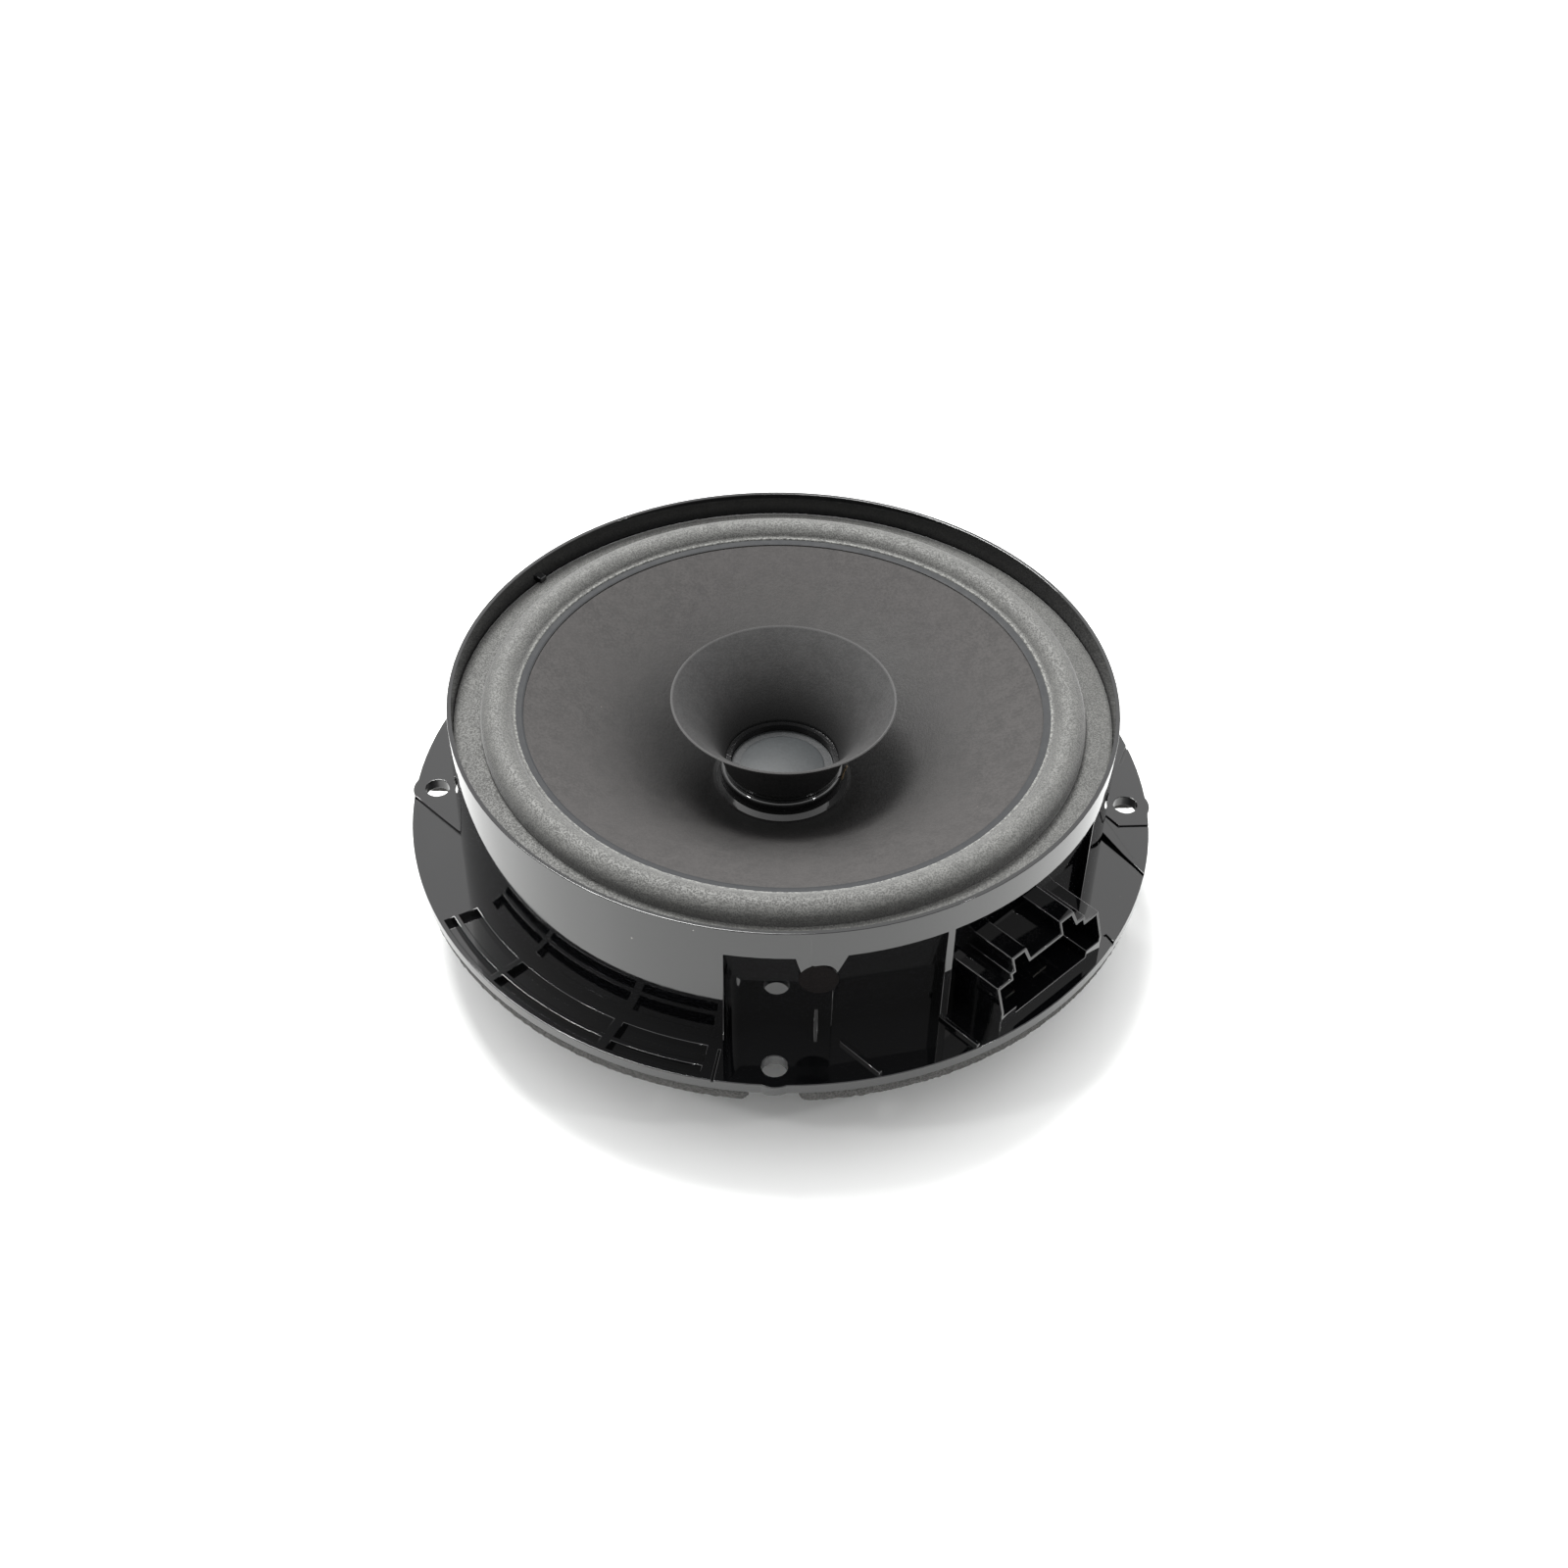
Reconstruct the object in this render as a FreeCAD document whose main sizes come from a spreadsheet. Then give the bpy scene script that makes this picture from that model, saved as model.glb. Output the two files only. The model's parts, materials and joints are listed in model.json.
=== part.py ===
import FreeCAD, Part
import math
import os
import re

import Sketcher

# Dual-cone full-range car loudspeaker for a door, 165 mm class.
# The origin is the centre of the screw circle on the rear face of the mounting
# flange.  +Z points along the voice coil towards the listener.  The connector
# socket faces out between +X and -Y.  Sizes are in millimetres and degrees.

SIZES = {
    # mounting flange and its screw holes
    "flange_radius": 96.2,
    "flange_thick": 3.0,
    "hole_radius": 3.1,
    "hole_circle_radius": 90.55,
    "lobe_radius": 6.35,
    # raised ring that carries the surround
    "ring_radius": 84.0,
    "ring_wall": 2.0,
    "ring_height": 40.9,
    "lip_wall": 1.1,
    "ledge_inner_radius": 75.4,
    "ledge_height": 33.2,
    "ledge_thick": 2.0,
    # cut-back faces at the front of the ring
    "bay_top": 32.6,
    "bay_lean_height": 18.5,
    "bay_depth_front": 6.0,
    "bay_depth_side": 5.8,
    "bay_depth_socket": 6.6,
    "bay_shelf_front": 2.4,
    "bay_shelf_side": 3.6,
    "bay_shelf_socket": 4.6,
    "bay_wall": 2.2,
    "bay_front_left": 12.0,
    "bay_front_right": 17.0,
    "bay_side_left": 6.0,
    "bay_side_right": 19.6,
    "bay_socket_left": 23.2,
    "bay_socket_right": 27.0,
    "bay_corner_round": 4.5,
    # tapered web, mould gate and gusset of the front bay, and the tab of the lip
    "web_bottom": 27.1,
    "web_left_top": 3.8,
    "web_left_bottom": 5.6,
    "web_right_top": 16.6,
    "web_right_bottom": 13.8,
    "gate_height": 25.6,
    "gate_aside": 9.55,
    "gate_radius": 4.6,
    "gate_setback": 0.4,
    "gusset_height": 8.8,
    "gusset_length": 5.0,
    "gusset_left": 8.9,
    "gusset_right": 9.9,
    "tab_low": 34.6,
    "tab_high": 36.2,
    "tab_reach": 2.5,
    "tab_half_width": 1.1,
    # rear dish, hub and spider seat
    "dish_thick": 2.6,
    "hub_radius": 46.0,
    "hub_wall": 2.5,
    "hub_bottom": -7.0,
    "hub_floor": 2.5,
    "hub_bore_radius": 18.0,
    "spider_seat_height": 0.5,
    "spider_seat_inner_radius": 38.3,
    "window_inner_radius": 50.0,
    "window_outer_radius": 74.8,
    "window_sweep": 40.0,
    # connector socket moulded on the ring
    "socket_half_width": 18.2,
    "socket_step_half_width": 13.5,
    "socket_height": 13.3,
    "socket_step": 1.5,
    "socket_tower": 4.8,
    "socket_tower_width": 5.1,
    "socket_tower_left": -12.2,
    "socket_tower_right": 4.8,
    "socket_tower_slope": 1.0,
    "socket_mouth": 92.9,
    "socket_mouth_lean": 2.8,
    "socket_lip_height": 6.4,
    "socket_floor": 2.6,
    "socket_floor_step": 2.2,
    "socket_wall": 0.8,
    "blade_height": 12.4,
    "blade_thick": 0.8,
    "blade_wide": 6.3,
    "blade_narrow": 4.8,
    "blade_offset": 6.2,
    "blade_tag_radius": 68.0,
    "blade_tip_setback": 8.0,
    "blade_eye_radius": 70.0,
    # grooves that run round the left of the flange
    "channel_inner_low": 86.3,
    "channel_inner_high": 91.0,
    "channel_outer_low": 92.4,
    "channel_outer_high": 94.9,
    "channel_depth": 2.0,
    # narrow grooves and low ribs between the pads of the flange
    "line_depth": 0.6,
    "rib_width": 1.1,
    "rib_height": 1.0,
    # soft gasket under the flange
    "gasket_outer_radius": 95.4,
    "gasket_inner_radius": 86.6,
    "gasket_thick": 4.2,
    "gasket_sweep": 83.0,
    "gasket_end_round": 2.0,
    # motor
    "plate_radius": 38.0,
    "plate_thick": 4.5,
    "gap_outer_radius": 13.9,
    "magnet_radius": 41.0,
    "magnet_bore_radius": 22.0,
    "magnet_thick": 10.5,
    "motor_glue": 0.2,
    "yoke_radius": 38.5,
    "yoke_thick": 4.6,
    "pole_radius": 12.3,
    "pole_top": -6.2,
    "vent_radius": 4.0,
    "rivet_radius": 1.9,
    "rivet_head_radius": 3.3,
    "rivet_head_height": 1.2,
    "rivet_circle_radius": 29.0,
    # voice coil
    "former_inner_radius": 12.75,
    "former_wall": 0.2,
    "former_top": 13.8,
    "coil_bottom": -14.0,
    "coil_length": 9.6,
    "coil_build": 0.45,
    "collar_build": 0.25,
    "collar_top": 8.4,
    # cones
    "neck_radius": 13.3,
    "cone_neck_height": 9.4,
    "cone_flare_radius": 18.0,
    "cone_flare_height": 10.9,
    "cone_radius": 65.0,
    "cone_height": 36.4,
    "cone_thick": 0.8,
    "cone_bow": 240.0,
    "cone_edge_radius": 68.6,
    "edge_groove_width": 0.4,
    "edge_groove_depth": 0.35,
    "whizzer_base": 12.9,
    "whizzer_neck_radius": 15.0,
    "whizzer_neck_top": 16.4,
    "whizzer_radius": 28.3,
    "whizzer_height": 37.9,
    "whizzer_thick": 0.5,
    "whizzer_bow": 40.0,
    "bead_foot_radius": 17.2,
    "bead_side_radius": 16.1,
    "bead_side_low": 11.8,
    "bead_side_high": 14.2,
    "bead_top": 15.5,
    "bead_shoulder": 1.2,
    "cap_radius": 13.2,
    "cap_height": 14.4,
    "cap_thick": 0.5,
    "cap_dome_radius": 11.0,
    "cap_dome_rise": 1.2,
    # surround and spider
    "foam_thick": 1.0,
    "foam_glue": 0.2,
    "foam_radius": 82.8,
    "roll_outer_radius": 75.8,
    "roll_inner_radius": 68.2,
    "roll_bow": 4.3,
    "roll_foot_height": 37.1,
    "foam_inner_radius": 67.2,
    "spider_radius": 42.8,
    "spider_thick": 0.5,
    "spider_wave_bow": 1.55,
    "spider_wave_inner": 17.6,
    "spider_inner_radius": 13.2,
    # flexible leads
    "lead_radius": 0.6,
}

WINDOWS = 6
HOLES = 4
RIVETS = 4
SPIDER_WAVES = 8
SOCKET_ANGLE = -45.0
FRONT_ANGLE = -90.0
SIDE_ANGLE = -76.0
TAB_ANGLE = 143.5

# low ribs across the flange beside the socket: distance out, distance aside, length
FLANGE_RIBS = {
    "rib_right": (80.0, -25.8, 12.6),
    "rib_left": (69.6, -48.4, 13.0),
}

# pairs of grooves that follow the flange's edge: middle angle, sweep
CHANNELS = [(-143.4, 13.4), (-125.9, 19.4), (-107.5, 14.0)]

# narrow straight grooves of the flange: start x, start y, direction, length, width
FLANGE_LINES = {
    "line_left": (-95.9, -3.8, -44.0, 22.0, 0.6),
    "line_right_a": (84.4, -3.6, -52.0, 6.2, 0.6),
    "line_right_b": (87.8, -8.2, 4.0, 9.0, 0.6),
    "line_right_c": (82.6, -11.4, -56.5, 18.0, 1.4),
    "line_right_d": (90.9, 15.9, 70.0, 8.0, 0.6),
    "line_right_e": (80.7, -46.6, -60.0, 4.0, 0.9),
    "line_front": (-12.9, -86.0, -98.5, 11.0, 0.5),
}

# route of a flexible lead: distance out from the axis, distance aside, height above its tag
LEAD_ROUTE = [
    (70.4, 6.2, 0.0),
    (62.0, 6.2, 1.0),
    (57.0, 7.6, -3.6),
    (48.0, 8.4, -7.2),
    (39.0, 8.0, -6.6),
    (31.0, 6.6, -2.6),
    (26.6, 5.6, 0.4),
]

doc = FreeCAD.newDocument("DoorSpeaker")
sheet = doc.addObject("Spreadsheet::Sheet", "Sizes")
for row, (alias, value) in enumerate(SIZES.items(), start=1):
    sheet.set(f"A{row}", alias)
    sheet.set(f"B{row}", str(value))
    sheet.setAlias(f"B{row}", alias)
doc.recompute()

ALIAS = re.compile(r"\b(" + "|".join(sorted(SIZES, key=len, reverse=True)) + r")\b")
Z_AXIS = FreeCAD.Vector(0, 0, 1)
parts = []


def cells(text):
    """An expression that names sizes, turned into one that reads the sheet's cells."""
    return ALIAS.sub(r"Sizes.\1", str(text))


def size(text):
    """The value of an expression that names sizes."""
    value = sheet.evalExpression(cells(text))
    return float(getattr(value, "Value", value))


def keep(item, label):
    """Mark an object as a finished piece with its own name."""
    item.Label = label
    parts.append(item)
    return item


def bind(item, **expressions):
    """Tie properties of an object to expressions of the sheet's cells."""
    for name, text in expressions.items():
        item.setExpression(name, cells(text))


def arc_between(start, end, radius):
    """The short arc from start to end; a positive radius turns anticlockwise."""
    chord = end - start
    middle = (start + end) * 0.5
    left = FreeCAD.Vector(-chord.y, chord.x, 0).normalize()
    rise = math.sqrt(max(radius ** 2 - (chord.Length / 2) ** 2, 0))
    centre = middle + left * math.copysign(rise, radius)
    first, last = (start, end) if radius > 0 else (end, start)
    angles = [math.atan2(p.y - centre.y, p.x - centre.x) for p in (first, last)]
    if angles[1] < angles[0]:
        angles[1] += 2 * math.pi
    return Part.ArcOfCircle(Part.Circle(centre, Z_AXIS, abs(radius)), *angles)


def draw(sketch, corners):
    """Draw a closed outline whose corners, and the radius of any arc, are expressions.

    A corner is (across, up) or (across, up, radius of the arc to the next corner).
    """
    points = [FreeCAD.Vector(size(c[0]), size(c[1]), 0) for c in corners]
    ends = []
    for index, corner in enumerate(corners):
        start = points[index]
        end = points[(index + 1) % len(points)]
        if len(corner) == 2:
            edge = sketch.addGeometry(Part.LineSegment(start, end), False)
            ends.append((edge, 1, 2))
        else:
            radius = size(corner[2])
            edge = sketch.addGeometry(arc_between(start, end, radius), False)
            ends.append((edge, 1, 2) if radius > 0 else (edge, 2, 1))
            text = corner[2] if radius > 0 else f"-({corner[2]})"
            add_bound(sketch, Sketcher.Constraint("Radius", edge, abs(radius)), f"radius{index}", text)
    for index, corner in enumerate(corners):
        edge, first, _ = ends[index]
        before, _, last = ends[index - 1]
        sketch.addConstraint(Sketcher.Constraint("Coincident", before, last, edge, first))
        point = points[index]
        across = Sketcher.Constraint("DistanceX", -1, 1, edge, first, point.x)
        add_bound(sketch, across, f"across{index}", corner[0])
        up = Sketcher.Constraint("DistanceY", -1, 1, edge, first, point.y)
        add_bound(sketch, up, f"up{index}", corner[1])


def add_bound(sketch, constraint, name, text):
    """Add a constraint and, when its expression names a size, tie it to the sheet."""
    index = sketch.addConstraint(constraint)
    sketch.renameConstraint(index, name)
    if ALIAS.search(str(text)):
        sketch.setExpression(f"Constraints.{name}", cells(text))


def plane_of(body, role):
    """The origin plane of a body that has the given role."""
    return next(f for f in body.Origin.OriginFeatures if f.Role == role)


def new_body(label):
    body = doc.addObject("PartDesign::Body", label)
    return keep(body, label)


def body_sketch(body, role, corners):
    """A sketch on one of the body's own origin planes."""
    sketch = body.newObject("Sketcher::SketchObject", body.Name + "_outline")
    sketch.AttachmentSupport = [(plane_of(body, role), "")]
    sketch.MapMode = "FlatFace"
    draw(sketch, corners)
    return sketch


def turned(label, corners):
    """A piece turned about Z from a half section in radius and height."""
    body = new_body(label)
    sketch = body_sketch(body, "XZ_Plane", corners)
    spin = body.newObject("PartDesign::Revolution", body.Name + "_turn")
    spin.Profile = sketch
    spin.ReferenceAxis = (sketch, ["V_Axis"])
    spin.Angle = 360
    sketch.Visibility = False
    return body


def loose_sketch(name, corners, placement):
    sketch = doc.addObject("Sketcher::SketchObject", name)
    sketch.Placement = placement
    draw(sketch, corners)
    return sketch


def flat(angle=0.0, height=0.0):
    """A placement for a plan outline, turned about Z."""
    return FreeCAD.Placement(FreeCAD.Vector(0, 0, height), FreeCAD.Rotation(Z_AXIS, angle))


def upright(angle):
    """A placement for a section in radius and height, at an angle about Z."""
    stand = FreeCAD.Rotation(FreeCAD.Vector(1, 0, 0), 90)
    return FreeCAD.Placement(FreeCAD.Vector(), FreeCAD.Rotation(Z_AXIS, angle) * stand)


def facing(angle):
    """A placement for a front view, across and height, seen from outside at an angle."""
    stand = FreeCAD.Rotation(FreeCAD.Vector(1, 1, 1), 120)
    return FreeCAD.Placement(FreeCAD.Vector(), FreeCAD.Rotation(Z_AXIS, angle) * stand)


def prism(name, corners, placement, low, high):
    """An outline pushed along its own normal from low to high, both expressions."""
    item = doc.addObject("Part::Extrusion", name)
    item.Base = loose_sketch(name + "_outline", corners, placement)
    item.DirMode = "Normal"
    item.Solid = True
    item.LengthFwd = size(high)
    item.LengthRev = -size(low)
    bind(item, LengthFwd=high, LengthRev=f"-({low})")
    return item


def turned_solid(name, corners):
    """A solid turned about Z, used as an ingredient of a larger piece."""
    item = doc.addObject("Part::Revolution", name)
    item.Source = loose_sketch(name + "_outline", corners, upright(0))
    item.Axis = Z_AXIS
    item.Base = FreeCAD.Vector()
    item.Angle = 360
    item.Solid = True
    return item


def fuse(name, shapes):
    item = doc.addObject("Part::MultiFuse", name)
    item.Shapes = shapes
    return item


def cut(name, base, tools):
    item = doc.addObject("Part::Cut", name)
    item.Base = base
    item.Tool = tools[0] if len(tools) == 1 else fuse(name + "_tools", tools)
    return item


def common(name, first, second):
    item = doc.addObject("Part::Common", name)
    item.Base = first
    item.Tool = second
    return item


def cylinder(name, radius, low, high, centre=(0.0, 0.0)):
    item = doc.addObject("Part::Cylinder", name)
    bind(item, Radius=radius, Height=f"({high}) - ({low})")
    item.Placement = FreeCAD.Placement(FreeCAD.Vector(*centre, size(low)), FreeCAD.Rotation())
    return item


def around(radius, count, first=0.0):
    """Centres spread evenly on a circle."""
    reach = size(radius)
    angles = [math.radians(first + 360.0 * k / count) for k in range(count)]
    return [(reach * math.cos(a), reach * math.sin(a)) for a in angles]


def sector(low_radius, high_radius, sweep):
    """The plan outline of a stretch of ring, centred on the X axis."""
    half = f"(({sweep}) / 2 * 1 deg)"
    return [
        (f"({low_radius}) * cos{half}", f"-({low_radius}) * sin{half}"),
        (f"({high_radius}) * cos{half}", f"-({high_radius}) * sin{half}", high_radius),
        (f"({high_radius}) * cos{half}", f"({high_radius}) * sin{half}"),
        (f"({low_radius}) * cos{half}", f"({low_radius}) * sin{half}", f"-({low_radius})"),
    ]


def box_outline(low_x, low_y, high_x, high_y):
    return [(low_x, low_y), (high_x, low_y), (high_x, high_y), (low_x, high_y)]


# ---------------------------------------------------------------- basket


def ring_and_dish():
    """Flange, raised ring, ledge, rear dish and hub as one turned section."""
    wall = "(ring_radius - ring_wall)"
    return turned_solid("ring_and_dish", [
        ("flange_radius", "0"),
        ("flange_radius", "flange_thick"),
        ("ring_radius", "flange_thick"),
        ("ring_radius", "ring_height"),
        ("ring_radius - lip_wall", "ring_height"),
        ("ring_radius - lip_wall", "ledge_height"),
        ("ledge_inner_radius", "ledge_height"),
        ("ledge_inner_radius", "ledge_height - ledge_thick"),
        (wall, "ledge_height - 2 * ledge_thick"),
        (wall, "dish_thick"),
        ("hub_radius", "hub_bottom + dish_thick"),
        ("hub_radius", "spider_seat_height + hub_wall / 2"),
        ("hub_radius - hub_wall", "spider_seat_height + hub_wall / 2"),
        ("hub_radius - hub_wall", "spider_seat_height"),
        ("spider_seat_inner_radius", "spider_seat_height"),
        ("spider_seat_inner_radius", "hub_bottom + hub_floor"),
        ("hub_bore_radius", "hub_bottom + hub_floor"),
        ("hub_bore_radius", "hub_bottom"),
        ("hub_radius", "hub_bottom"),
        ("ring_radius - ring_wall / 2", "0"),
    ])


def bay_section(name):
    """What is cut from the ring: upright at first, then leaning out to a shelf under the band."""
    face = f"ring_radius - bay_depth_{name}"
    return [
        (face, "flange_thick"),
        ("flange_radius", "flange_thick"),
        ("flange_radius", "bay_top"),
        (f"ring_radius - bay_shelf_{name}", "bay_top"),
        (face, "bay_lean_height"),
    ]


def bay_backing(name):
    """The wall behind a cut-back face, joined to the ledge above."""
    inner = f"ring_radius - bay_depth_{name} - bay_wall"
    return [
        (inner, "0"),
        ("ring_radius", "0"),
        ("ring_radius", "ledge_height"),
        (f"ring_radius - bay_shelf_{name} - bay_wall", "ledge_height"),
        (inner, "bay_lean_height"),
    ]


def bays():
    """Backing walls to add and spaces to cut for the three flat faces."""
    plan = [
        ("front", FRONT_ANGLE, "-bay_front_right", "bay_front_left"),
        ("side", SIDE_ANGLE, "-bay_side_right", "bay_side_left"),
        ("socket", SOCKET_ANGLE, "-bay_socket_right", "bay_socket_left"),
    ]
    backs = []
    cuts = []
    for name, angle, low, high in plan:
        place = upright(angle)
        backs.append(prism(
            f"{name}_back", bay_backing(name), place, f"{low} - bay_wall", f"{high} + bay_wall"))
        cuts.append(prism(f"{name}_bay", bay_section(name), place, low, high))
    face = "ring_radius - bay_depth_front"
    rounded = prism("front_corner", [
        (f"{face} + bay_corner_round", "-bay_front_left", "-bay_corner_round"),
        (face, "-bay_front_left + bay_corner_round"),
        (face, "bay_front_right"),
        ("flange_radius", "bay_front_right"),
        ("flange_radius", "-bay_front_left"),
    ], flat(FRONT_ANGLE), "flange_thick", "bay_top")
    cuts[0] = common("front_bay_rounded", cuts[0], rounded)
    drum = cylinder("ring_drum", "ring_radius", "0", "ledge_height")
    return common("bay_backs", fuse("bay_back_walls", backs), drum), cuts


def gate_web():
    """A tapered web flush with the band, the round gate under it and a small gusset."""
    back = "ring_radius - bay_depth_front - 1"
    slab = prism("gate_web_slab", [
        ("web_left_bottom", "web_bottom"),
        ("web_right_bottom", "web_bottom"),
        ("web_right_top", "bay_top + 1"),
        ("web_left_top", "bay_top + 1"),
    ], facing(FRONT_ANGLE), back, "ring_radius + 1")
    drum = cylinder("gate_drum", "ring_radius", "0", "ledge_height")
    turn = FreeCAD.Rotation(FreeCAD.Vector(1, 0, 0), 90)
    start = FreeCAD.Vector(size("gate_aside"), -size(back), size("gate_height"))
    gate = doc.addObject("Part::Cylinder", "gate_disc")
    bind(gate, Radius="gate_radius", Height="bay_depth_front + 1 - gate_setback")
    gate.Placement = FreeCAD.Placement(start, turn)
    notch = doc.addObject("Part::Cylinder", "gate_notch")
    bind(notch, Radius="gate_radius", Height="bay_depth_front + 2")
    notch.Placement = FreeCAD.Placement(start, turn)
    web = cut("gate_web", common("gate_web_whole", slab, drum), [notch])
    gusset = prism("gate_gusset", [
        (back, "flange_thick - 1"),
        ("ring_radius - bay_depth_front + gusset_length", "flange_thick - 1"),
        ("ring_radius - bay_depth_front + gusset_length", "flange_thick"),
        ("ring_radius - bay_depth_front", "gusset_height"),
        (back, "gusset_height"),
    ], upright(FRONT_ANGLE), "-gusset_right", "-gusset_left")
    return [web, gate, gusset]


def lip_tab():
    """A small tab that holds the foam's edge down against the lip."""
    return prism("lip_tab", box_outline(
        "ring_radius - tab_reach", "-tab_half_width", "ring_radius - lip_wall / 2", "tab_half_width"
    ), flat(TAB_ANGLE), "tab_low", "tab_high")


def socket_outline(wall, low):
    """Front view of the keyed socket, shrunk by a wall all round."""
    top = f"flange_thick + socket_height - {wall}"
    step = f"{top} + socket_step"
    tower = f"{top} + socket_tower"
    half = f"socket_half_width - {wall}"
    mid = f"socket_step_half_width - {wall}"
    left = f"socket_tower_left + {wall}"
    right = f"socket_tower_right + {wall}"
    width = f"socket_tower_width - 2 * {wall}"
    return [
        (f"-({half})", low),
        (half, low),
        (half, top),
        (mid, top),
        (mid, step),
        (f"{right} + {width} + socket_tower_slope", step),
        (f"{right} + {width}", tower),
        (right, tower),
        (right, step),
        (f"{left} + {width} + socket_tower_slope", step),
        (f"{left} + {width}", tower),
        (left, tower),
        (left, step),
        (f"-({mid})", step),
        (f"-({mid})", top),
        (f"-({half})", top),
    ]


def socket():
    """The connector housing, its cavity with a stepped floor, and its leaning mouth."""
    view = facing(SOCKET_ANGLE)
    back = "ring_radius - bay_depth_socket - bay_wall"
    shell = prism("socket_shell", socket_outline("0", "0"), view, back, "socket_mouth")
    low = "flange_thick + socket_floor + socket_floor_step"
    face = "ring_radius - bay_depth_socket"
    cavity = prism("socket_cavity", socket_outline("socket_wall", low), view, face, "socket_mouth + 1")
    mid = "socket_step_half_width - socket_wall"
    groove = prism("socket_groove", box_outline(
        f"-({mid})", "flange_thick + socket_floor", mid, "flange_thick + socket_height"
    ), view, face, "socket_mouth + 1")
    lip = "flange_thick + socket_lip_height"
    crown = "flange_thick + socket_height + socket_tower + 1"
    lean = prism("socket_lean", [
        ("socket_mouth", lip),
        ("socket_mouth + 6", lip),
        ("socket_mouth + 6", crown),
        ("socket_mouth - 1.4 * socket_mouth_lean", crown),
    ], upright(SOCKET_ANGLE), "-20", "20")
    return shell, [cavity, groove, lean]


def flange_ribs():
    """Two low ribs that run parallel to the socket across the flange."""
    ribs = []
    for name, (start, aside, length) in FLANGE_RIBS.items():
        corners = box_outline(f"{start}", f"{aside}", f"{start + length}", f"{aside} + rib_width")
        ribs.append(prism(
            name, corners, flat(SOCKET_ANGLE), "flange_thick / 2", "flange_thick + rib_height"))
    return ribs


def flange_channels():
    """Three pairs of grooves that follow the edge at the left of the front."""
    rows = [
        ("inner", "channel_inner_low", "channel_inner_high"),
        ("outer", "channel_outer_low", "channel_outer_high"),
    ]
    cuts = []
    for number, (angle, sweep) in enumerate(CHANNELS, start=1):
        for row, low, high in rows:
            cuts.append(prism(
                f"channel_{row}_{number}", sector(low, high, sweep), flat(angle),
                "flange_thick - channel_depth", "flange_thick + 1"))
    return cuts


def flange_lines():
    """Narrow grooves between the pads of the flange."""
    cuts = []
    for name, (x, y, turn, length, width) in FLANGE_LINES.items():
        item = prism(
            name, box_outline("0", f"{-width / 2}", f"{length}", f"{width / 2}"), flat(),
            "flange_thick - line_depth", "flange_thick + 1")
        item.Base.Placement = FreeCAD.Placement(FreeCAD.Vector(x, y, 0), FreeCAD.Rotation(Z_AXIS, turn))
        cuts.append(item)
    return cuts


def windows():
    """Openings through the dish between its spokes."""
    return [
        prism(
            f"window_{k + 1}", sector("window_inner_radius", "window_outer_radius", "window_sweep"),
            flat(360.0 * k / WINDOWS), "hub_bottom - 1", "flange_thick + dish_thick")
        for k in range(WINDOWS)
    ]


def blade_slots():
    """Slots in the socket's back wall that hold the two terminal blades."""
    low = "blade_height - blade_thick / 2"
    high = "blade_height + blade_thick / 2"
    start = "ring_radius - bay_depth_socket - bay_wall - 1"
    plan = [("plus", "-blade_offset", "blade_wide"), ("minus", "blade_offset", "blade_narrow")]
    return [
        prism(
            f"slot_{name}", box_outline(f"{middle} - {width} / 2", low, f"{middle} + {width} / 2", high),
            facing(SOCKET_ANGLE), start, "ring_radius")
        for name, middle, width in plan
    ]


def basket():
    backs, bay_cuts = bays()
    lobes = [
        cylinder(f"lobe_{n}", "lobe_radius", "0", "flange_thick", centre)
        for n, centre in enumerate(around("hole_circle_radius", HOLES))
    ]
    body = cut("ring_with_bays", fuse("ring_plain", [ring_and_dish(), backs] + lobes), bay_cuts)
    shell, socket_cuts = socket()
    rim = cylinder("flange_limit", "flange_radius", "-8", "ring_height")
    shell_in = common("socket_in_flange", fuse("socket_and_ribs", [shell] + flange_ribs()), rim)
    whole = fuse("ring_with_details", [body, shell_in, lip_tab()] + gate_web())
    holes = [
        cylinder(f"hole_{n}", "hole_radius", "-1", "flange_thick + 2", centre)
        for n, centre in enumerate(around("hole_circle_radius", HOLES))
    ]
    rivet_holes = [
        cylinder(f"rivet_hole_{n}", "rivet_radius", "hub_bottom - 1", "0", centre)
        for n, centre in enumerate(around("rivet_circle_radius", RIVETS, 45))
    ]
    tools = holes + rivet_holes + socket_cuts + blade_slots()
    tools += flange_channels() + flange_lines() + windows()
    keep(cut("basket", whole, tools), "basket")


# ---------------------------------------------------------------- gasket, glue and springs


def gaskets():
    """Four soft strips under the flange, one between each pair of screw holes."""
    names = ["back_right", "back_left", "front_left", "front_right"]
    for number, name in enumerate(names):
        body = new_body(f"flange_gasket_{name}")
        body.Placement = flat(45.0 + 90.0 * number)
        sketch = body_sketch(body, "XY_Plane", sector(
            "gasket_inner_radius", "gasket_outer_radius", "gasket_sweep"))
        pad = body.newObject("PartDesign::Pad", body.Name + "_pad")
        pad.Profile = sketch
        pad.Reversed = True
        bind(pad, Length="gasket_thick")
        doc.recompute()
        upright_edges = [
            f"Edge{n}" for n, edge in enumerate(pad.Shape.Edges, start=1)
            if abs(edge.tangentAt(edge.FirstParameter).z) > 0.9
        ]
        fillet = body.newObject("PartDesign::Fillet", body.Name + "_ends")
        fillet.Base = (pad, upright_edges)
        bind(fillet, Radius="gasket_end_round")


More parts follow.
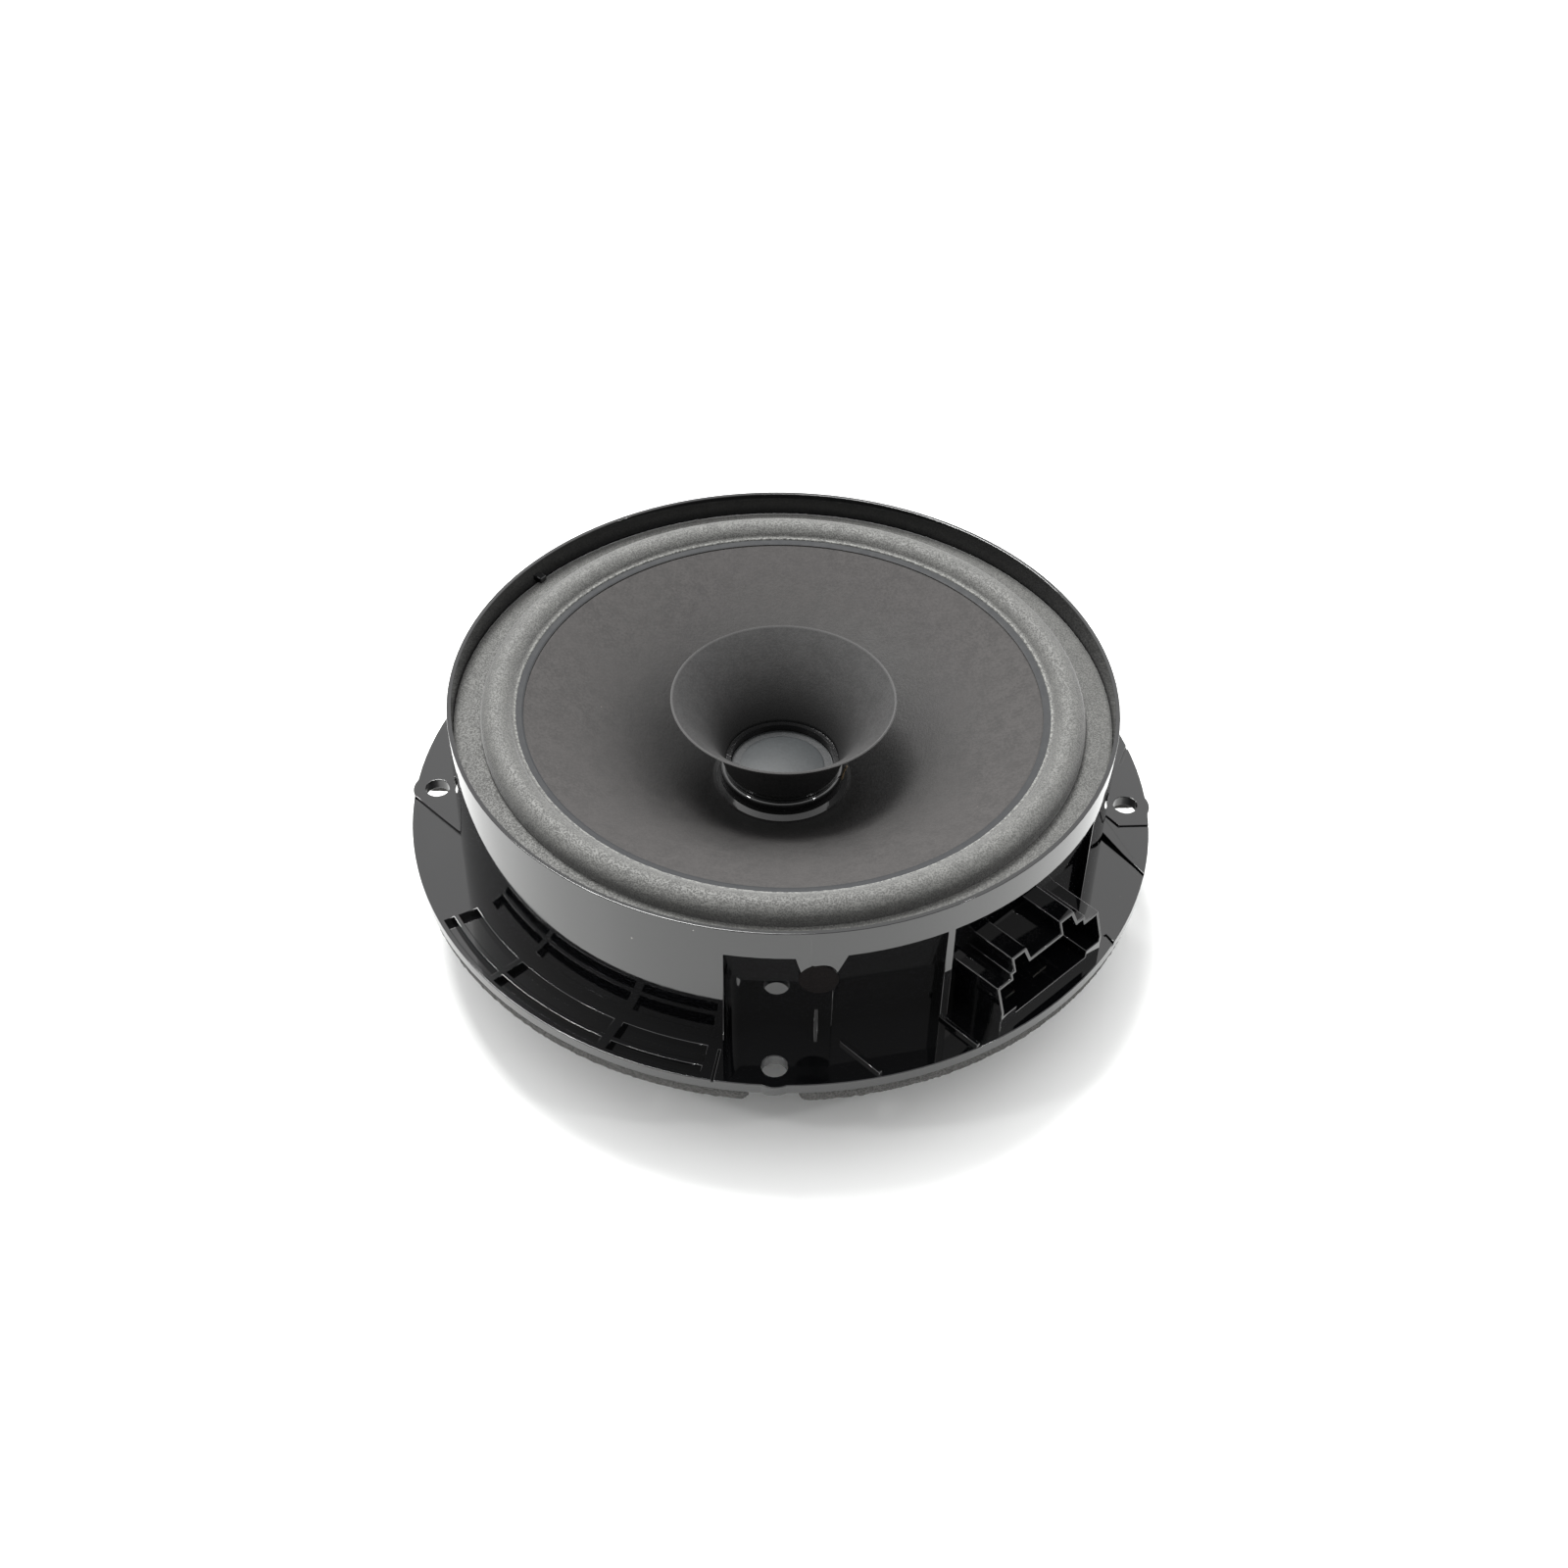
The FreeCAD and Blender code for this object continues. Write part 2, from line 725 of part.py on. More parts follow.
def surround():
    """Rolled foam edge between the cone and the ledge, and the glue that holds it."""
    low = "ledge_height + foam_glue"
    top = f"{low} + foam_thick"
    turned("surround", [
        ("foam_radius", low),
        ("foam_radius", top),
        ("roll_outer_radius", top, "roll_bow"),
        ("roll_inner_radius", "roll_foot_height"),
        ("foam_inner_radius", "roll_foot_height"),
        ("foam_inner_radius", "cone_height"),
        ("roll_inner_radius + foam_thick", "cone_height", "-(roll_bow - foam_thick * 0.9)"),
        ("roll_outer_radius - foam_thick", low),
    ])
    turned("surround_glue_ring", box_outline(
        "ledge_inner_radius + 1", "ledge_height", "foam_radius - 0.3", low))


def spider():
    """Corrugated centring disc on its seat in the hub, and its glue."""
    seat = "spider_seat_height"
    wave = f"((spider_seat_inner_radius - spider_wave_inner) / {SPIDER_WAVES})"
    crests = [
        (f"spider_seat_inner_radius - {k} * {wave}", seat,
         "spider_wave_bow" if k % 2 else "-spider_wave_bow")
        for k in range(SPIDER_WAVES)
    ]
    under = [(x, y, f"-({bow})") for x, y, bow in crests]
    path = under + [("spider_wave_inner", seat), ("spider_inner_radius", seat)]
    top = [("spider_inner_radius", f"{seat} + spider_thick")]
    top.append(("spider_wave_inner", f"{seat} + spider_thick", crests[-1][2]))
    for k in range(SPIDER_WAVES - 1, 0, -1):
        top.append((crests[k][0], f"{seat} + spider_thick", crests[k - 1][2]))
    top.append(("spider_seat_inner_radius", f"{seat} + spider_thick"))
    top.append(("spider_radius", f"{seat} + spider_thick"))
    turned("spider", path + top + [("spider_radius", seat)])
    turned("spider_glue_ring", box_outline(
        "spider_radius - 3", f"{seat} + spider_thick", "spider_radius", f"{seat} + 2 * spider_thick"))


# ---------------------------------------------------------------- motor


def motor():
    plate_low = "hub_bottom - plate_thick"
    magnet_top = f"{plate_low} - motor_glue"
    magnet_low = f"{magnet_top} - magnet_thick"
    yoke_top = f"{magnet_low} - motor_glue"
    yoke_low = f"{yoke_top} - yoke_thick"
    plate = turned_solid("plate_ring", box_outline(
        "gap_outer_radius", plate_low, "plate_radius", "hub_bottom"))
    centres = around("rivet_circle_radius", RIVETS, 45)
    holes = [
        cylinder(f"plate_hole_{n}", "rivet_radius", f"{plate_low} - 1", "0", centre)
        for n, centre in enumerate(centres)
    ]
    keep(cut("top_plate", plate, holes), "top_plate")
    turned("magnet_glue_front", box_outline(
        "magnet_bore_radius + 1", magnet_top, "plate_radius - 1", plate_low))
    turned("ferrite_magnet", box_outline(
        "magnet_bore_radius", magnet_low, "magnet_radius", magnet_top))
    turned("magnet_glue_rear", box_outline(
        "magnet_bore_radius + 1", yoke_top, "plate_radius - 1", magnet_low))
    turned("t_yoke", [
        ("vent_radius", yoke_low),
        ("yoke_radius - 1", yoke_low),
        ("yoke_radius", f"{yoke_low} + 1"),
        ("yoke_radius", yoke_top),
        ("pole_radius", yoke_top),
        ("pole_radius", "pole_top - 0.5"),
        ("pole_radius - 0.5", "pole_top"),
        ("vent_radius", "pole_top"),
    ])
    turned("vent_screen", box_outline("0", f"{yoke_low} + 1.0", "vent_radius", f"{yoke_low} + 1.6"))
    floor = "hub_bottom + hub_floor"
    shanks = []
    for number, centre in enumerate(centres):
        shanks.append(cylinder(f"shank_{number}", "rivet_radius", plate_low, floor, centre))
        shanks.append(cylinder(
            f"head_{number}", "rivet_head_radius", floor, f"{floor} + rivet_head_height", centre))
    keep(fuse("motor_rivets", shanks), "motor_rivets")


# ---------------------------------------------------------------- moving assembly


def cones():
    under = "cone_height - cone_thick"
    turned("cone", [
        ("cone_edge_radius", "cone_height"),
        ("cone_radius + edge_groove_width", "cone_height"),
        ("cone_radius + edge_groove_width", "cone_height - edge_groove_depth"),
        ("cone_radius", "cone_height - edge_groove_depth", "cone_bow"),
        ("cone_flare_radius", "cone_flare_height"),
        ("neck_radius", "cone_neck_height"),
        ("neck_radius", "cone_neck_height - cone_thick"),
        ("cone_flare_radius + 0.2", "cone_flare_height - cone_thick", "-cone_bow"),
        ("cone_radius + 0.2", under),
        ("cone_edge_radius", under),
    ])
    turned("cone_edge_glue", [
        ("cone_radius + edge_groove_width", "cone_height"),
        ("foam_inner_radius", "cone_height"),
        ("foam_inner_radius", "cone_height + foam_thick * 0.3"),
        ("cone_radius + 2 * edge_groove_width", "cone_height + foam_thick * 0.15"),
    ])
    turned("whizzer_cone", [
        ("neck_radius", "whizzer_base"),
        ("whizzer_neck_radius", "whizzer_base"),
        ("whizzer_neck_radius", "whizzer_neck_top - 0.4", "-whizzer_bow"),
        ("whizzer_radius + 0.3", "whizzer_height - 0.3"),
        ("whizzer_radius", "whizzer_height", "whizzer_bow"),
        ("whizzer_neck_radius - whizzer_thick", "whizzer_neck_top"),
        ("neck_radius", "whizzer_neck_top"),
    ])
    dome = "((cap_dome_radius ^ 2 + cap_dome_rise ^ 2) / (2 * cap_dome_rise))"
    turned("dust_cap", [
        ("0", "cap_height + cap_dome_rise - cap_thick"),
        ("cap_dome_radius + 0.2", "cap_height - cap_thick"),
        ("cap_radius", "cap_height - cap_thick"),
        ("cap_radius", "cap_height"),
        ("cap_dome_radius", "cap_height", dome),
        ("0", "cap_height + cap_dome_rise"),
    ])
    rise = "(cone_flare_height - cone_neck_height) / (cone_flare_radius - neck_radius)"
    turned("neck_glue_bead", [
        ("former_inner_radius + former_wall", "cone_neck_height - cone_thick"),
        ("neck_radius", "cone_neck_height - cone_thick"),
        ("neck_radius", "cone_neck_height"),
        ("bead_foot_radius", f"cone_neck_height + (bead_foot_radius - neck_radius) * {rise}"),
        ("bead_side_radius", "bead_side_low"),
        ("bead_side_radius", "bead_side_high", "bead_shoulder"),
        ("whizzer_neck_radius", "bead_top"),
        ("whizzer_neck_radius", "whizzer_base"),
        ("former_inner_radius + former_wall", "whizzer_base"),
    ])


def voice_coil():
    inner = "former_inner_radius"
    outer = f"{inner} + former_wall"
    turned("voice_coil_former", box_outline(inner, "coil_bottom", outer, "former_top"))
    coil_top = "coil_bottom + coil_length"
    turned("voice_coil_winding", box_outline(outer, "coil_bottom", f"{outer} + coil_build", coil_top))
    turned("coil_collar", box_outline(outer, coil_top, f"{outer} + collar_build", "collar_top"))


# ---------------------------------------------------------------- terminals and leads


def across_socket(out, aside, height):
    """A point given by its distance out along the socket, sideways and up."""
    angle = math.radians(SOCKET_ANGLE)
    x = out * math.cos(angle) - aside * math.sin(angle)
    y = out * math.sin(angle) + aside * math.cos(angle)
    return FreeCAD.Vector(x, y, height)


def terminals():
    """Two blades through the back of the socket, each with a solder tag inside."""
    plan = [("positive", "-blade_offset", "blade_wide"), ("negative", "blade_offset", "blade_narrow")]
    for name, middle, width in plan:
        low = f"{middle} - {width} / 2"
        high = f"{middle} + {width} / 2"
        blade = prism(
            f"blade_{name}", box_outline(
                low, "blade_height - blade_thick / 2", high, "blade_height + blade_thick / 2"),
            facing(SOCKET_ANGLE), "blade_tag_radius", "socket_mouth - blade_tip_setback")
        spot = across_socket(size("blade_eye_radius"), size(middle), 0)
        eye = cylinder(f"eye_{name}", "lead_radius + 0.1", "0", "ring_height / 2", (spot.x, spot.y))
        keep(cut(f"terminal_blade_{name}", blade, [eye]), f"terminal_blade_{name}")


def swept_path(points):
    """Straight runs joined by the largest tangent arcs that the runs allow."""
    edges = []
    start = points[0]
    for before, corner, after in zip(points, points[1:], points[2:]):
        run_in = (before - corner).normalize()
        run_out = (after - corner).normalize()
        turn = math.pi - run_in.getAngle(run_out)
        trim = 0.45 * min((before - corner).Length, (after - corner).Length)
        radius = trim / math.tan(turn / 2)
        enter = corner + run_in * trim
        leave = corner + run_out * trim
        bisector = (run_in + run_out).normalize()
        centre = corner + bisector * (trim / math.sin(turn / 2)) * 1.0
        middle = centre - bisector * radius
        edges.append(Part.LineSegment(start, enter).toShape())
        edges.append(Part.Arc(enter, middle, leave).toShape())
        print(f"lead bend radius {radius:.1f} mm")
        start = leave
    edges.append(Part.LineSegment(start, points[-1]).toShape())
    return Part.Wire(edges)


def flexible_leads():
    """Two braided leads that hang in an S from the tags to the back of the cone."""
    radius = size("lead_radius")
    for name, side in (("positive", -1), ("negative", 1)):
        tag = size("blade_height + blade_thick / 2") + radius
        points = [across_socket(out, side * aside, tag + rise) for out, aside, rise in LEAD_ROUTE]
        path = swept_path(points)
        start = points[0]
        section = Part.Wire(Part.makeCircle(radius, start, points[1] - start))
        tube = path.makePipeShell([section], True, True)
        expected = math.pi * radius ** 2 * path.Length
        print(f"lead {name}: length {path.Length:.1f} mm, volume {tube.Volume:.1f} of {expected:.1f}")
        item = doc.addObject("Part::Feature", f"tinsel_lead_{name}")
        item.Shape = tube
        item.Placement = FreeCAD.Placement()
        keep(item, f"tinsel_lead_{name}")


basket()
gaskets()
surround()
spider()
motor()
cones()
voice_coil()
terminals()
flexible_leads()
doc.recompute()

for item in doc.Objects:
    if "Invalid" in item.State or "Error" in item.State:
        raise RuntimeError(f"{item.Label} failed: {item.State}")

os.makedirs("parts", exist_ok=True)
for item in parts:
    shape = item.Shape
    if shape.isNull() or not shape.isValid() or not shape.Solids:
        raise RuntimeError(f"{item.Label} has no valid solid")
    shape.exportStep(f"parts/{item.Label}.step")
    print(f"{item.Label}: {len(shape.Solids)} solid(s), {shape.Volume:.1f} mm3")
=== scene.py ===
import json
import math

import bmesh
import bpy
from bpy.props import FloatProperty, FloatVectorProperty, IntProperty, PointerProperty
from bpy.types import Operator, Panel, PropertyGroup
from mathutils import Matrix, Vector, noise
from mathutils.bvhtree import BVHTree
from mathutils.interpolate import poly_3d_calc


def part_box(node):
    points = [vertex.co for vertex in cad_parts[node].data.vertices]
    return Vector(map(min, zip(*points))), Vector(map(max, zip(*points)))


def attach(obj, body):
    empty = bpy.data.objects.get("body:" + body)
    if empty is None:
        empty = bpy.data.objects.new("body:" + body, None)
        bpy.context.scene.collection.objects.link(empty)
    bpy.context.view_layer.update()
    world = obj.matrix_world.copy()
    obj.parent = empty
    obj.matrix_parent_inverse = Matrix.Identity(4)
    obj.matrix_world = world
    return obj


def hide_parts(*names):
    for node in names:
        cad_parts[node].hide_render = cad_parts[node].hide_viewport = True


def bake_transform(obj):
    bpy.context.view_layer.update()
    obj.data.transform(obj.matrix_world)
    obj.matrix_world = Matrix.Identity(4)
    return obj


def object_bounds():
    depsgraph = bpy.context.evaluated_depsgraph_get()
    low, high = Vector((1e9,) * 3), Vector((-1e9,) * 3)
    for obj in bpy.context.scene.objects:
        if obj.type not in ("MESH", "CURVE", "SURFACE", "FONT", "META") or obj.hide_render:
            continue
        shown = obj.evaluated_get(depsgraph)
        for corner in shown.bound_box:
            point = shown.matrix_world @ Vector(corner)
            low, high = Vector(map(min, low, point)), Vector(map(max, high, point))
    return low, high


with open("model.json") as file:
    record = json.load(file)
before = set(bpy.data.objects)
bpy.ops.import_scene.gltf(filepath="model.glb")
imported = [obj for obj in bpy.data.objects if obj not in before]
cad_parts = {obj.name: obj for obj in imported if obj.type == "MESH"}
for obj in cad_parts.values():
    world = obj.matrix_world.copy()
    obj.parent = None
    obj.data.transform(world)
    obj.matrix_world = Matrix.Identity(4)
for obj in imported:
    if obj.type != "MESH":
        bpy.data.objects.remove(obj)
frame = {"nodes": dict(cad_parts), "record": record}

bl_info = {
    "name": "Door Loudspeaker",
    "version": (1, 0, 0),
    "blender": (4, 5, 0),
    "location": "3D View > Sidebar > Loudspeaker",
    "description": "Builds the finished surfaces of a dual-cone door loudspeaker around its design frame",
    "category": "Object",
}

MM = 0.001
CHASSIS = "chassis"
MOVING = "cone_assembly"
CAD_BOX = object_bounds()

SURROUND_STEPS = 640
SPIDER_STEPS = 240
WINDING_STEPS = 128
FOAM_GRAIN = 1100.0
GASKET_GRAIN = 900.0
GASKET_CELL = 0.6 * MM
GASKET_ROUND = 0.7 * MM
ROLL_ARCH = 0.78
ROLL_STEPS = 28
ROLL_UNDER_STEPS = 16
SKIRT_STEPS = 10
SPIDER_THICK = 0.5 * MM
SPIDER_WAVE = 0.7 * MM
SPIDER_WAVE_STEPS = 8
BLADE_ROUND = 0.12 * MM
COIL_END_RADIUS = 0.28 * MM
GATE_FACE_SLACK = 0.3 * MM
FLOOR_HALF = 3.0
CAMERA_PLACE = (0.6, -392.4, 377.0)
CAMERA_DIP = math.radians(43.28)
CAMERA_ROLL = math.radians(1.41)
CAMERA_LENS = 47.25
CAMERA_SENSOR = 36.0
CAMERA_CLIP = 0.01


def top_of(node):
    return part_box(node)[1].z


def low_of(node):
    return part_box(node)[0].z


def radius_of(node):
    """Outer radius of a round piece centred on the axis."""
    low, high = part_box(node)
    return (high.y - low.y) / 2


# ------------------------------------------------------------------ properties


def length(name, text, default):
    return FloatProperty(name=name, description=text, default=default, unit="LENGTH", precision=5)


def colour(name, text, default):
    return FloatVectorProperty(
        name=name, description=text, default=default, subtype="COLOR", size=3, min=0.0, max=1.0)


class LoudspeakerSizes(PropertyGroup):
    """Sizes that the design frame does not give directly."""

    edge_round: length("Edge round", "Rounding of moulded plastic edges", 0.22 * MM)
    steel_round: length("Steel edge", "Rounding of pressed steel edges", 0.35 * MM)
    ferrite_round: length("Ferrite edge", "Rounding of the magnet's edges", 0.8 * MM)
    roll_outer: length("Roll outer", "Radius where the foam roll meets its outer flange", 75.8 * MM)
    roll_inner: length("Roll inner", "Radius where the foam roll meets the cone", 68.2 * MM)
    foam_inner: length("Foam inner edge", "Radius of the foam's inner cut edge", 67.2 * MM)
    roll_rise: length("Roll rise", "Height of the roll's crown above its outer flange", 5.0 * MM)
    foam_thick: length("Foam thickness", "Thickness of the surround foam", 1.0 * MM)
    foam_rough: length("Foam unevenness", "Height of the cells on the foam's skin", 0.07 * MM)
    gasket_rough: length("Gasket unevenness", "Height of the cells on the cut gasket", 0.16 * MM)
    spider_waves: IntProperty(
        name="Spider waves", description="Corrugations of the centring disc", default=8, min=2, max=16)
    spider_wave_inner: length("Spider inner wave", "Radius of the innermost corrugation", 17.6 * MM)
    spider_wave_outer: length("Spider outer wave", "Radius of the outermost corrugation", 38.3 * MM)
    lead_held: length("Held lead", "Length of each lead end that its solder or glue holds still", 3.0 * MM)
    coil_turn: length("Wire", "Width of one turn of the voice coil", 0.3 * MM)
    gate_radius: length("Gate radius", "Radius of the round moulding gate", 4.65 * MM)
    gate_place: FloatVectorProperty(
        name="Gate place", description="Middle of the moulding gate's face",
        default=(9.55 * MM, -83.6 * MM, 25.6 * MM), size=3, subtype="TRANSLATION", unit="LENGTH",
        precision=5)


class LoudspeakerColours(PropertyGroup):
    """Base colours of the finishes."""

    plastic: colour("Plastic", "Glossy moulded basket", (0.0017, 0.0018, 0.0021))
    foam: colour("Foam", "Rolled surround", (0.040, 0.040, 0.038))
    foam_light: colour("Foam light", "Bright cells of the surround", (0.080, 0.080, 0.075))
    gasket: colour("Gasket", "Open-cell gasket strip", (0.050, 0.049, 0.047))
    cone: colour("Cone", "Pressed paper cone", (0.0295, 0.0275, 0.0268))
    # Glue-soaked paper at the neck, also painted over the wider halo as shade cast by the whizzer.
    cone_soaked_shaded: colour("Soaked cone", "Paper darkened by glue at the neck", (0.0065, 0.0063, 0.0062))
    whizzer: colour("Whizzer", "Pressed paper of the small cone", (0.024, 0.0235, 0.0235))
    cap: colour("Dust cap", "Middle of the dust cap", (0.0185, 0.0208, 0.0222))
    cap_rim: colour("Dust cap rim", "Outer ring of the dust cap", (0.010, 0.011, 0.012))
    glue: colour("Glue", "Black neck glue", (0.004, 0.004, 0.0042))
    edge_glue: colour("Edge glue", "Grey glue line at the cone's edge", (0.009, 0.010, 0.0115))
    steel: colour("Zinc steel", "Plated motor steel", (0.58, 0.57, 0.52))
    ferrite: colour("Ferrite", "Ground ferrite magnet", (0.030, 0.030, 0.032))
    cloth: colour("Spider cloth", "Resin-dipped centring disc", (0.36, 0.20, 0.055))
    copper: colour("Copper", "Enamelled winding wire", (0.62, 0.25, 0.11))
    tinsel: colour("Tinsel", "Braided flexible lead", (0.55, 0.33, 0.19))
    film: colour("Film", "Amber coil former", (0.36, 0.14, 0.02))
    kraft: colour("Kraft", "Brown paper collar", (0.28, 0.17, 0.085))
    tin: colour("Tin", "Tinned terminal blades", (0.72, 0.70, 0.64))
    floor: colour("Floor", "Pale table top", (0.76, 0.765, 0.76))


def sizes():
    return bpy.context.scene.loudspeaker_sizes


def colours():
    return bpy.context.scene.loudspeaker_colours


# ------------------------------------------------------------------ shader groups


def new_group(name, inputs, outputs):
    """An empty shader group with named number inputs and outputs."""
    group = bpy.data.node_groups.new(name, "ShaderNodeTree")
    for label, default in inputs:
        socket = group.interface.new_socket(label, in_out="INPUT", socket_type="NodeSocketFloat")
        socket.default_value = default
    for label in outputs:
        group.interface.new_socket(label, in_out="OUTPUT", socket_type="NodeSocketFloat")
    start = group.nodes.new("NodeGroupInput")
    end = group.nodes.new("NodeGroupOutput")
    return group, start, end


def math_node(tree, operation, first, second=None, clamp=False):
    node = tree.nodes.new("ShaderNodeMath")
    node.operation = operation
    node.use_clamp = clamp
    for socket, value in zip(node.inputs, (first, second)):
        if value is None:
            continue
        if isinstance(value, (int, float)):
            socket.default_value = value
        else:
            tree.links.new(value, socket)
    return node.outputs[0]


def ramp(tree, value, low, high, smooth=True):
    """0 below low, 1 above high, with a soft step between."""
    node = tree.nodes.new("ShaderNodeMapRange")
    node.interpolation_type = "SMOOTHSTEP" if smooth else "LINEAR"
    tree.links.new(value, node.inputs["Value"])
    for label, end in (("From Min", low), ("From Max", high)):
        if isinstance(end, (int, float)):
            node.inputs[label].default_value = end
        else:
            tree.links.new(end, node.inputs[label])
    return node.outputs["Result"]


def object_point(tree):
    return tree.nodes.new("ShaderNodeTexCoord").outputs["Object"]


def noise_value(tree, scale, detail=2.0, roughness=0.5, vector=None):
    node = tree.nodes.new("ShaderNodeTexNoise")
    node.inputs["Detail"].default_value = detail
    node.inputs["Roughness"].default_value = roughness
    tree.links.new(vector or object_point(tree), node.inputs["Vector"])
    if isinstance(scale, (int, float)):
        node.inputs["Scale"].default_value = scale
    else:
        tree.links.new(scale, node.inputs["Scale"])
    return node.outputs["Fac"]


def build_axis_group():
    """Distance from the speaker's axis and height along it."""
    group, _, end = new_group("Around axis", [], ["Radius", "Height"])
    split = group.nodes.new("ShaderNodeSeparateXYZ")
    group.links.new(object_point(group), split.inputs[0])
    across = math_node(group, "MULTIPLY", split.outputs["X"], split.outputs["X"])
    along = math_node(group, "MULTIPLY", split.outputs["Y"], split.outputs["Y"])
    radius = math_node(group, "SQRT", math_node(group, "ADD", across, along))
    group.links.new(radius, end.inputs["Radius"])
    group.links.new(split.outputs["Z"], end.inputs["Height"])
    return group


def build_fibre_group():
    """Fine mottled grain of pressed fibre: a mask for colour and a height."""
    group, start, end = new_group("Pressed fibre", [("Scale", 1500.0)], ["Mask", "Height"])
    fine = noise_value(group, start.outputs["Scale"], 3.0, 0.65)
    broad = noise_value(group, math_node(group, "MULTIPLY", start.outputs["Scale"], 0.22), 2.0, 0.5)
    mixed = math_node(group, "ADD", math_node(group, "MULTIPLY", fine, 0.65),
                      math_node(group, "MULTIPLY", broad, 0.35))
    group.links.new(ramp(group, mixed, 0.36, 0.64), end.inputs["Mask"])
    group.links.new(mixed, end.inputs["Height"])
    return group


def build_cell_group():
    """Open foam cells: bright walls between small dark pores."""
    group, start, end = new_group("Foam cells", [("Scale", 900.0)], ["Walls", "Height"])
    cells = group.nodes.new("ShaderNodeTexVoronoi")
    group.links.new(object_point(group), cells.inputs["Vector"])
    group.links.new(start.outputs["Scale"], cells.inputs["Scale"])
    patch = noise_value(group, math_node(group, "MULTIPLY", start.outputs["Scale"], 0.6), 3.0, 0.7)
    depth = math_node(group, "ADD", math_node(group, "MULTIPLY", cells.outputs["Distance"], 0.55),
                      math_node(group, "MULTIPLY", patch, 0.6))
    group.links.new(ramp(group, depth, 0.42, 0.72), end.inputs["Walls"])
    group.links.new(depth, end.inputs["Height"])
    return group


def build_speck_group():
    """Sparse specks of dust and lint."""
    group, start, end = new_group(
        "Dust specks", [("Scale", 260.0), ("Size", 0.09), ("Share", 0.12)], ["Mask"])
    cells = group.nodes.new("ShaderNodeTexVoronoi")
    group.links.new(object_point(group), cells.inputs["Vector"])
    group.links.new(start.outputs["Scale"], cells.inputs["Scale"])
    size = start.outputs["Size"]
    near = ramp(group, cells.outputs["Distance"], size, math_node(group, "MULTIPLY", size, 0.4))
    split = group.nodes.new("ShaderNodeSeparateColor")
    group.links.new(cells.outputs["Color"], split.inputs[0])
    chosen = math_node(group, "LESS_THAN", split.outputs[0], start.outputs["Share"])
    group.links.new(math_node(group, "MULTIPLY", near, chosen), end.inputs["Mask"])
    return group


GROUP_BUILDERS = {
    "Around axis": build_axis_group,
    "Pressed fibre": build_fibre_group,
    "Foam cells": build_cell_group,
    "Dust specks": build_speck_group,
}


def place_group(tree, name, **values):
    """A node that uses a shared group, which is built the first time."""
    group = bpy.data.node_groups.get(name) or GROUP_BUILDERS[name]()
    node = tree.nodes.new("ShaderNodeGroup")
    node.node_tree = group
    for label, value in values.items():
        node.inputs[label.capitalize()].default_value = value
    return node


# ------------------------------------------------------------------ materials


def start_material(name, base, roughness, metallic=0.0):
    """A material with a Principled shader; returns it, its tree and the shader."""
    material = bpy.data.materials.new(name)
    material.use_nodes = True
    tree = material.node_tree
    shader = tree.nodes["Principled BSDF"]
    shader.inputs["Base Color"].default_value = (*base, 1.0)
    shader.inputs["Roughness"].default_value = roughness
    shader.inputs["Metallic"].default_value = metallic
    return material, tree, shader


def mix_colour(tree, factor, first, second):
    node = tree.nodes.new("ShaderNodeMix")
    node.data_type = "RGBA"
    tree.links.new(factor, node.inputs["Factor"])
    for socket, value in ((node.inputs[6], first), (node.inputs[7], second)):
        if isinstance(value, tuple):
            socket.default_value = (*value, 1.0)
        else:
            tree.links.new(value, socket)
    return node.outputs[2]


def bump(tree, shader, height, distance, strength=1.0):
    node = tree.nodes.new("ShaderNodeBump")
    node.inputs["Strength"].default_value = strength
    node.inputs["Distance"].default_value = distance
    tree.links.new(height, node.inputs["Height"])
    tree.links.new(node.outputs["Normal"], shader.inputs["Normal"])


def spread(tree, value, low, high):
    """Scale a 0 to 1 value into low to high."""
    node = tree.nodes.new("ShaderNodeMapRange")
    tree.links.new(value, node.inputs["Value"])
    node.inputs["To Min"].default_value = low
    node.inputs["To Max"].default_value = high
    return node.outputs["Result"]


def shade(value, factor):
    return tuple(min(1.0, c * factor) for c in value)


def plastic_material():
    """High-gloss black moulding with faint waviness, hairline scuffs and dust."""
    c = tuple(colours().plastic)
    material, tree, shader = start_material("basket_gloss", c, 0.05)
    shader.inputs["IOR"].default_value = 1.61
    specks = place_group(tree, "Dust specks", scale=210.0, size=0.06, share=0.10)
    lint = place_group(tree, "Dust specks", scale=90.0, size=0.035, share=0.14)
    dust = math_node(tree, "MAXIMUM", specks.outputs["Mask"], lint.outputs["Mask"])
    tree.links.new(mix_colour(tree, dust, c, (0.30, 0.29, 0.27)), shader.inputs["Base Color"])
    smear = ramp(tree, noise_value(tree, 55.0, 3.0, 0.6), 0.42, 0.7)
    polish = spread(tree, smear, 0.03, 0.075)
    tree.links.new(math_node(tree, "MAXIMUM", polish, math_node(tree, "MULTIPLY", dust, 0.7)),
                   shader.inputs["Roughness"])
    wave = noise_value(tree, 60.0, 1.0, 0.4)
    bump(tree, shader, math_node(tree, "ADD", wave, math_node(tree, "MULTIPLY", dust, 0.5)),
         0.045 * MM, 0.5)
    return material


def gate_material():
    """Torn, dull brown-black skin where the moulding was broken from its gate."""
    material, tree, shader = start_material("gate_scar", (0.003, 0.0025, 0.0024), 0.9)
    shader.inputs["Specular IOR Level"].default_value = 0.08
    grit = noise_value(tree, 1500.0, 4.0, 0.7)
    tree.links.new(mix_colour(tree, grit, (0.0012, 0.0011, 0.0011), (0.007, 0.0052, 0.0050)),
                   shader.inputs["Base Color"])
    tree.links.new(spread(tree, grit, 0.7, 0.95), shader.inputs["Roughness"])
    bump(tree, shader, grit, 0.3 * MM, 0.8)
    return material


